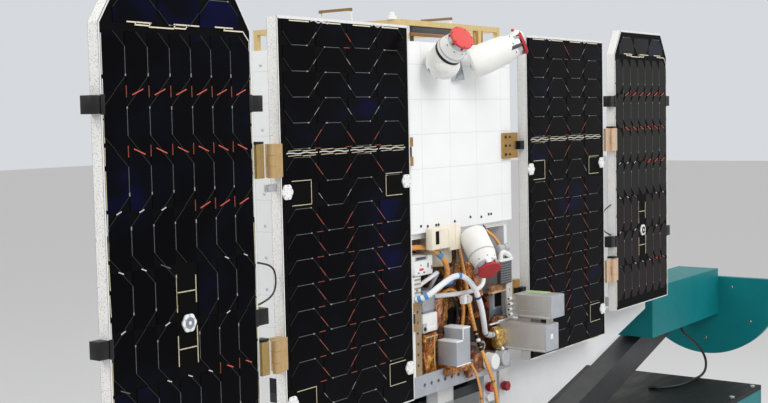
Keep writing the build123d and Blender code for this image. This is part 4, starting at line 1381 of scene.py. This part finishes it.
# Loose strips that hang and sway: x, y, top, low end, width, finish
for x, y, top, low, width, finish in (
    (-2, 55, 190, 150, 9, amber), (34, 55, 206, 140, 9, brown_film),
    (56, 51, 200, 120, 8, amber), (78, 49, 160, 112, 9, brown_film),
):
    spots = []
    for index in range(7):
        share = index / 6
        sway = 4 * noise.noise(Vector((x * 0.1, share * 3, top * 0.01)))
        spots.append((x + sway * 2, y + sway * 0.5, top + (low - top) * share))
    folds.ribbon(spots, width, finish, 0.6)
folds.boxes(
    (-57, -7, 38, 48, 190, 206, deep_blue_tie, 2.0),
    (-46, -18, 37, 39, 194, 202, blue_tie, 0.6),
    (60, 86, 46, 52, 188, 197, deep_blue_tie, 1.6),
    (-127, -86, 28.6, 30.8, 104, 106, pale_gold, 0.4),
    (-100, -98, 28.6, 30.8, 40, 104, pale_gold, 0.4),
)
folds.done("root", slot="copper_film")

# White connector under the second harness, fittings beside the lower tracker, drum behind
fittings = Shape("bay_fittings")
fittings.boxes(
    (-34, -10, 1, 13, 158, 173, white_plastic, 1.6),
    (-30, -14, 3, 11, 172, 176, white_plastic, 0.8),
    (-12, -5, 2, 10, 160, 170, cream, 1.0),
    (-26, -22, 0.4, 1.6, 158, 173, grey_plastic, 0.4),
    (122, 165, 14, 23, 176, 223, dark_grey, 1.2),
)
for z in range(179, 220, 5):
    fittings.box(121, 165.5, 12.6, 15, z, z + 2.6, grey_sleeve, 0.5)
fittings.box(118, 170, 12, 24, 222, 227, white_plastic, 1.2)
elbow = ((128, 18, 226), (128, 18, 238), (134, 18, 242), (150, 18, 238), (166, 18, 230), (166, 18, 226))
fittings.tube(elbow, 5.5, white_plastic)
coupling = ((0, 6), (1, 8), (18, 8), (18, 6.4), (24, 6.4), (24, 8), (40, 8), (40, TIP))
fittings.lathe((122, 22, 249), RIGHT, coupling, grey_plastic, 24)
fittings.tube(((138, 22, 244), (139, 20, 240), (146, 18, 238)), 3.5, silver)
fittings.box(158, 162, 18, 26, 226, 246, silver, 0.6)
sleeve_end = ((-6, 3.2), (8, 3.2), (9, 2.4), (9, TIP))
fittings.lathe((88, 34, 298), (0.3, -0.4, -0.7), sleeve_end, deep_blue_tie, 16)
fittings.done("root", slot="white_plastic")

drum = Shape("cream_drum")
hoops = (
    (0, 27), (1.2, 29), (12, 29), (12.4, 29.6), (13.4, 29.6), (13.8, 29), (30, 29), (30.4, 29.6),
    (31.4, 29.6), (31.8, 29), (60, 29),
)
drum.lathe((-56, 58, 233), UP, hoops, drum_cream, 48)
hoop = ((0, 33), (1.4, 35), (11, 35), (11.4, 35.6), (12.6, 35.6), (13, 35), (25.6, 35))
drum.lathe((-42, 66, 236), UP, hoop, drum_cream, 56)
drum.done("root", slot="cream_plastic")

# Star trackers: start, cover's middle, dust cover's finish
TRACKERS = {
    "left": ((-123, -6, 616), (-143, -70, 657), salmon_cover),
    "right": ((-4, -19, 623), (45, -84, 656), red_cover),
    "lower": ((-8, 0, 294), (-33, -53, 230), red_cover),
}
CAN_R = 27.0
MOUTH_R = 20.0


def turned_shares(length, *pairs):
    """A profile whose reaches are shares of a length."""
    return tuple((length * share, radius) for share, radius in pairs)


covers = Shape("tracker_covers")
for name, (start, end, finish) in TRACKERS.items():
    begin = Vector(start)
    axis = Vector(end) - begin
    length = axis.length
    along = axis.normalized()
    can = Shape(name + "_tracker_can")
    sleeve = ((0.4, TIP), (0.4, CAN_R - 5), (2, CAN_R - 1.6), (6, CAN_R))
    sleeve += turned_shares(length, (0.6, CAN_R), (0.62, CAN_R - 0.6), (0.88, MOUTH_R + 1.6))
    band = turned_shares(
        length, (0.6, CAN_R - 2), (0.61, CAN_R + 0.3), (0.63, CAN_R + 0.1), (0.64, CAN_R - 3)
    )
    mouth = turned_shares(length, (0.86, MOUTH_R), (0.88, MOUTH_R + 2), (0.97, MOUTH_R), (0.97, TIP))
    can.lathe(begin, along, sleeve, blanket, 44)
    can.lathe(begin, along, band, grey_plastic, 44)
    can.lathe(begin, along, mouth, silver, 44)
    if name == "left":
        strap = turned_shares(length, (0.45, CAN_R), (0.46, CAN_R + 0.6), (0.52, CAN_R + 0.6), (0.53, CAN_R))
        can.lathe(begin, along, strap, black_metal, 44)
    across = along.orthogonal().normalized()
    for index in range(8):
        around = Matrix.Rotation(index * math.pi / 4, 4, along) @ across
        spot = begin + along * (length * 0.8) + around * (CAN_R - 5.4)
        can.peg(spot, around, -0.6, 1.4, 2.0, black_metal, 10)
    if name == "right":
        # The dark slot on its front, towards the photographer
        facing = Vector((-0.797, -0.604, -0.007))
        frame_of = Matrix((along, facing, along.cross(facing))).transposed().to_4x4()
        here = begin + along * (length * 0.84) + facing * (MOUTH_R + 1.4) + along.cross(facing) * 3
        can.box(-22, 11, -1.5, 2.4, -3.4, 3.4, dark_grey, 0.6, Matrix.Translation(here) @ frame_of)
    can.done("root", [name + "_tracker"], "white_plastic")
    rim = ((0.2, 22.6), (1, 23.5), (4.6, 23.5), (5.7, 22.4), (5.9, 20), (5.9, TIP))
    covers.lathe(end, along, rim, finish, 44)
    for index in range(7):
        spot = Vector(end) + (Matrix.Rotation(index * 2 * math.pi / 7 + 0.4, 4, along) @ across) * 21.5
        covers.lathe(spot, -along, ((-6, 1.7), (5, 1.7), (5.4, 1.2), (5.4, TIP)), knob_red, 10)
covers.done("root", ["tracker_covers"], "red_cover")

# White blankets and seats under the trackers, stitched in black at the left one
BAG_AT = Vector((-126, -20, 618))
BAG_R = (34.0, 31.0, 32.0)
bags = Shape("tracker_blankets")
bags.lump(BAG_AT, BAG_R, blanket, 0.07)
bags.crumpled(-114, -84, -4, 20, 600, 636, blanket, 2.0, 0.04, 14)
bags.box(28, 50, -4, 20, 610, 640, blanket, 5.0)
right_start, right_end, _ = TRACKERS["right"]
backward = (Vector(right_start) - Vector(right_end)).normalized()
skirt = ((-58, TIP), (-58, CAN_R), (-40, 28.4), (-16, 29.6), (8, 29.4), (12, 27.6), (14, 24), (14, TIP))
bags.lathe(right_start, backward, skirt, blanket, 48)
bags.lump((39, -79, 669), (15, 14, 12), blanket, 0.1)
bags.box(26, 31, -78, -74, 677, 682, red_cover, 0.8)
bags.box(-24, 20, 6, 70, 264, 292, grey_plastic, 3.0)


def bag_rim(degrees, reach):
    """A point near the left bag's rim as it is seen from the front left."""
    angle = math.radians(degrees)
    aside = Vector((-0.6 * BAG_R[0], 0.8 * BAG_R[1], 0)) * math.cos(angle)
    return BAG_AT + (aside + Vector((0, 0, BAG_R[2] * math.sin(angle)))) * reach + Vector((-5, -5, 0))


for index in range(8):
    bags.peg(bag_rim(16 + 8 * index, 0.86), (-0.8, -0.6, 0), -3, 3.6, 1.4, black_metal, 8)
bags.tube([tuple(bag_rim(angle, 0.95)) for angle in (-22, -36, -50, -66)], 1.8, black_metal)
bags.box(-104, -92, -50, -30, 630, 639, light_box, 1.6)
bags.done("root", ["tracker_cradles"], "white_plastic")

sensor = Shape("sun_sensor_head")
sensor.peak([(-42, 588), (-8, 588), (-20, 627)], 20, 10, (-27, 2.4, 600), [light_box, dark_grey, grey_sleeve])
sensor.done("root", ["sun_sensor"], "bare_metal")

# Under the payload frame: a dark grey plate with a brown edge, both painted shade in the recess there, then a
# gold post and the corner post
top = Shape("frame_front_painted_shade_and_post")
# The dark grey plate, its dark grey ends and the brown strip are painted shade; the last box is the gold post
top.boxes(
    (-126, 12, 44, 51, 675, 690, dark_grey, 0.6),
    (-140, -12, 40, 45, 669, 675.5, brown_tape, 0.6),
    (-130, -126, 44, 51, 656.5, 690, dark_grey, 0.6),
    (12, 16, 44, 51, 656.5, 690, dark_grey, 0.6),
    (88, 113, 42, 51, 656.5, 689, gold, 1.2),
)
top.done("root", slot="gold_metal")
post = Shape("corner_post_turned")
steps = ((0, 10), (3, 10), (4, 8.6), (7, 8.6), (8, 5.2), (13, 5.2), (13.8, 4.2), (13.8, TIP))
post.lathe((-171, 61, 698), UP, steps, white_plastic, 28)
post.done("root", ["corner_post"], "white_plastic")

# Screws along the edges of the body's sides and back
body_screws = Shape("body_screws")
for z in range(52, 657, 64):
    for sign in (-1, 1):
        for y in (60, 220, 380):
            body_screws.lathe((sign * 177.6, y, z), (sign, 0, 0), SCREW, silver, 14)
        for x in (60, 165):
            body_screws.lathe((sign * x, 419.6, z), BACK, SCREW, silver, 14)
body_screws.done("root", slot="steel")

# Stand: knob faces, nut on the clamp plate, blank plate under the bay, bolts along the deck
stand = Shape("stand_details")
dished = ((0, 8.4), (1.4, 7.6), (1.4, 4), (0.6, 3.4), (0.6, TIP))
stand.lathe((135, 46.6, -41), FRONT, dished, salmon_cover, 28)
hexagon = ((0, 10.8), (2.4, 10.8), (3.2, 9.6), (3.2, 4), (2.2, 3.6), (2.2, TIP))
stand.lathe((196, 47, -50), FRONT, hexagon, knob_red, 6)
nut = ((0, 9.2), (7, 9.2), (8, 8.2), (8, 4), (6.4, 3.6), (6.4, TIP))
stand.lathe((135, 60.2, -63), FRONT, nut, white_plastic, 6)
stand.boxes(
    (-78, 14, 62, 66, -51, -2, grey_plastic, 1.0),
    (-76, 12, 65, 72.4, -48, -34, grey_plastic, 0.6),
    (-44, 10, 61.2, 62.4, -44, -8, white, 0.6),
)
stand.discs(((-72, -10), (-50, -10)), 60.6, 62.4, 2.4, black_metal, 14)
for x in range(-300, 1201, 150):
    for y in (-118, 558):
        stand.lathe((x, y, -226.4), UP, ((0, 7), (4, 7), (5, 6), (5, TIP)), silver, 6)
stand.done("root", slot="steel")

# Floor, light and background, in metres
FLOOR_SIDE = 30.0


def stage_plane(name, corners, colour):
    """A plain pale sheet that shows its own colour and still takes shadows."""
    data = bpy.data.meshes.new(name)
    data.from_pydata(corners, [], [(0, 1, 2, 3)])
    sheet = bpy.data.objects.new(name, data)
    bpy.context.scene.collection.objects.link(sheet)
    finish = Finish(name + "_paint")
    finish.put(base=finish.mix(finish.grain(3.0), colour, colour), rough=0.9, gloss=0.1)
    data.materials.append(finish.material)
    sheet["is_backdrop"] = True


FLOOR_CORNERS = ((-1, -1), (1, -1), (1, 1), (-1, 1))
stage_plane("floor", [(FLOOR_SIDE * x, FLOOR_SIDE * y, 0) for x, y in FLOOR_CORNERS], (228, 229, 231))

world = bpy.data.worlds.new("room")
bpy.context.scene.world = world
world.use_nodes = True
room = world.node_tree
shade = room.nodes["Background"]
shade.inputs["Color"].default_value = (1.0, 0.99, 0.975, 1.0)
shade.inputs["Strength"].default_value = 0.66
seen = room.nodes.new("ShaderNodeBackground")
seen.inputs["Color"].default_value = paint(214, 217, 221)
paths = room.nodes.new("ShaderNodeLightPath")
either = room.nodes.new("ShaderNodeMath")
either.operation = "MAXIMUM"
room.links.new(paths.outputs["Is Camera Ray"], either.inputs[0])
room.links.new(paths.outputs["Is Transmission Ray"], either.inputs[1])
choice = room.nodes.new("ShaderNodeMixShader")
room.links.new(either.outputs[0], choice.inputs[0])
room.links.new(shade.outputs[0], choice.inputs[1])
room.links.new(seen.outputs[0], choice.inputs[2])
room.links.new(choice.outputs[0], room.nodes["World Output"].inputs["Surface"])


def lamp(name, place, target, size, power):
    """A large soft lamp that looks at a point."""
    data = bpy.data.lights.new(name, "AREA")
    data.shape = "DISK"
    data.size = size
    data.energy = power
    light = bpy.data.objects.new(name, data)
    light.location = place
    light.rotation_euler = (Vector(target) - Vector(place)).to_track_quat("-Z", "Y").to_euler()
    bpy.context.scene.collection.objects.link(light)


lamp("ceiling_front", (-1.2, -3.2, 3.6), (-0.2, 0.0, 1.1), 2.4, 80.0)
lamp("ceiling_left", (-3.4, 1.0, 3.2), (-0.2, 0.0, 1.1), 2.0, 40.0)
lamp("ceiling_right", (2.8, -1.2, 3.4), (0.2, 0.0, 1.0), 2.2, 34.0)

scene = bpy.context.scene
scene.view_settings.view_transform = "Standard"

low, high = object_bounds()
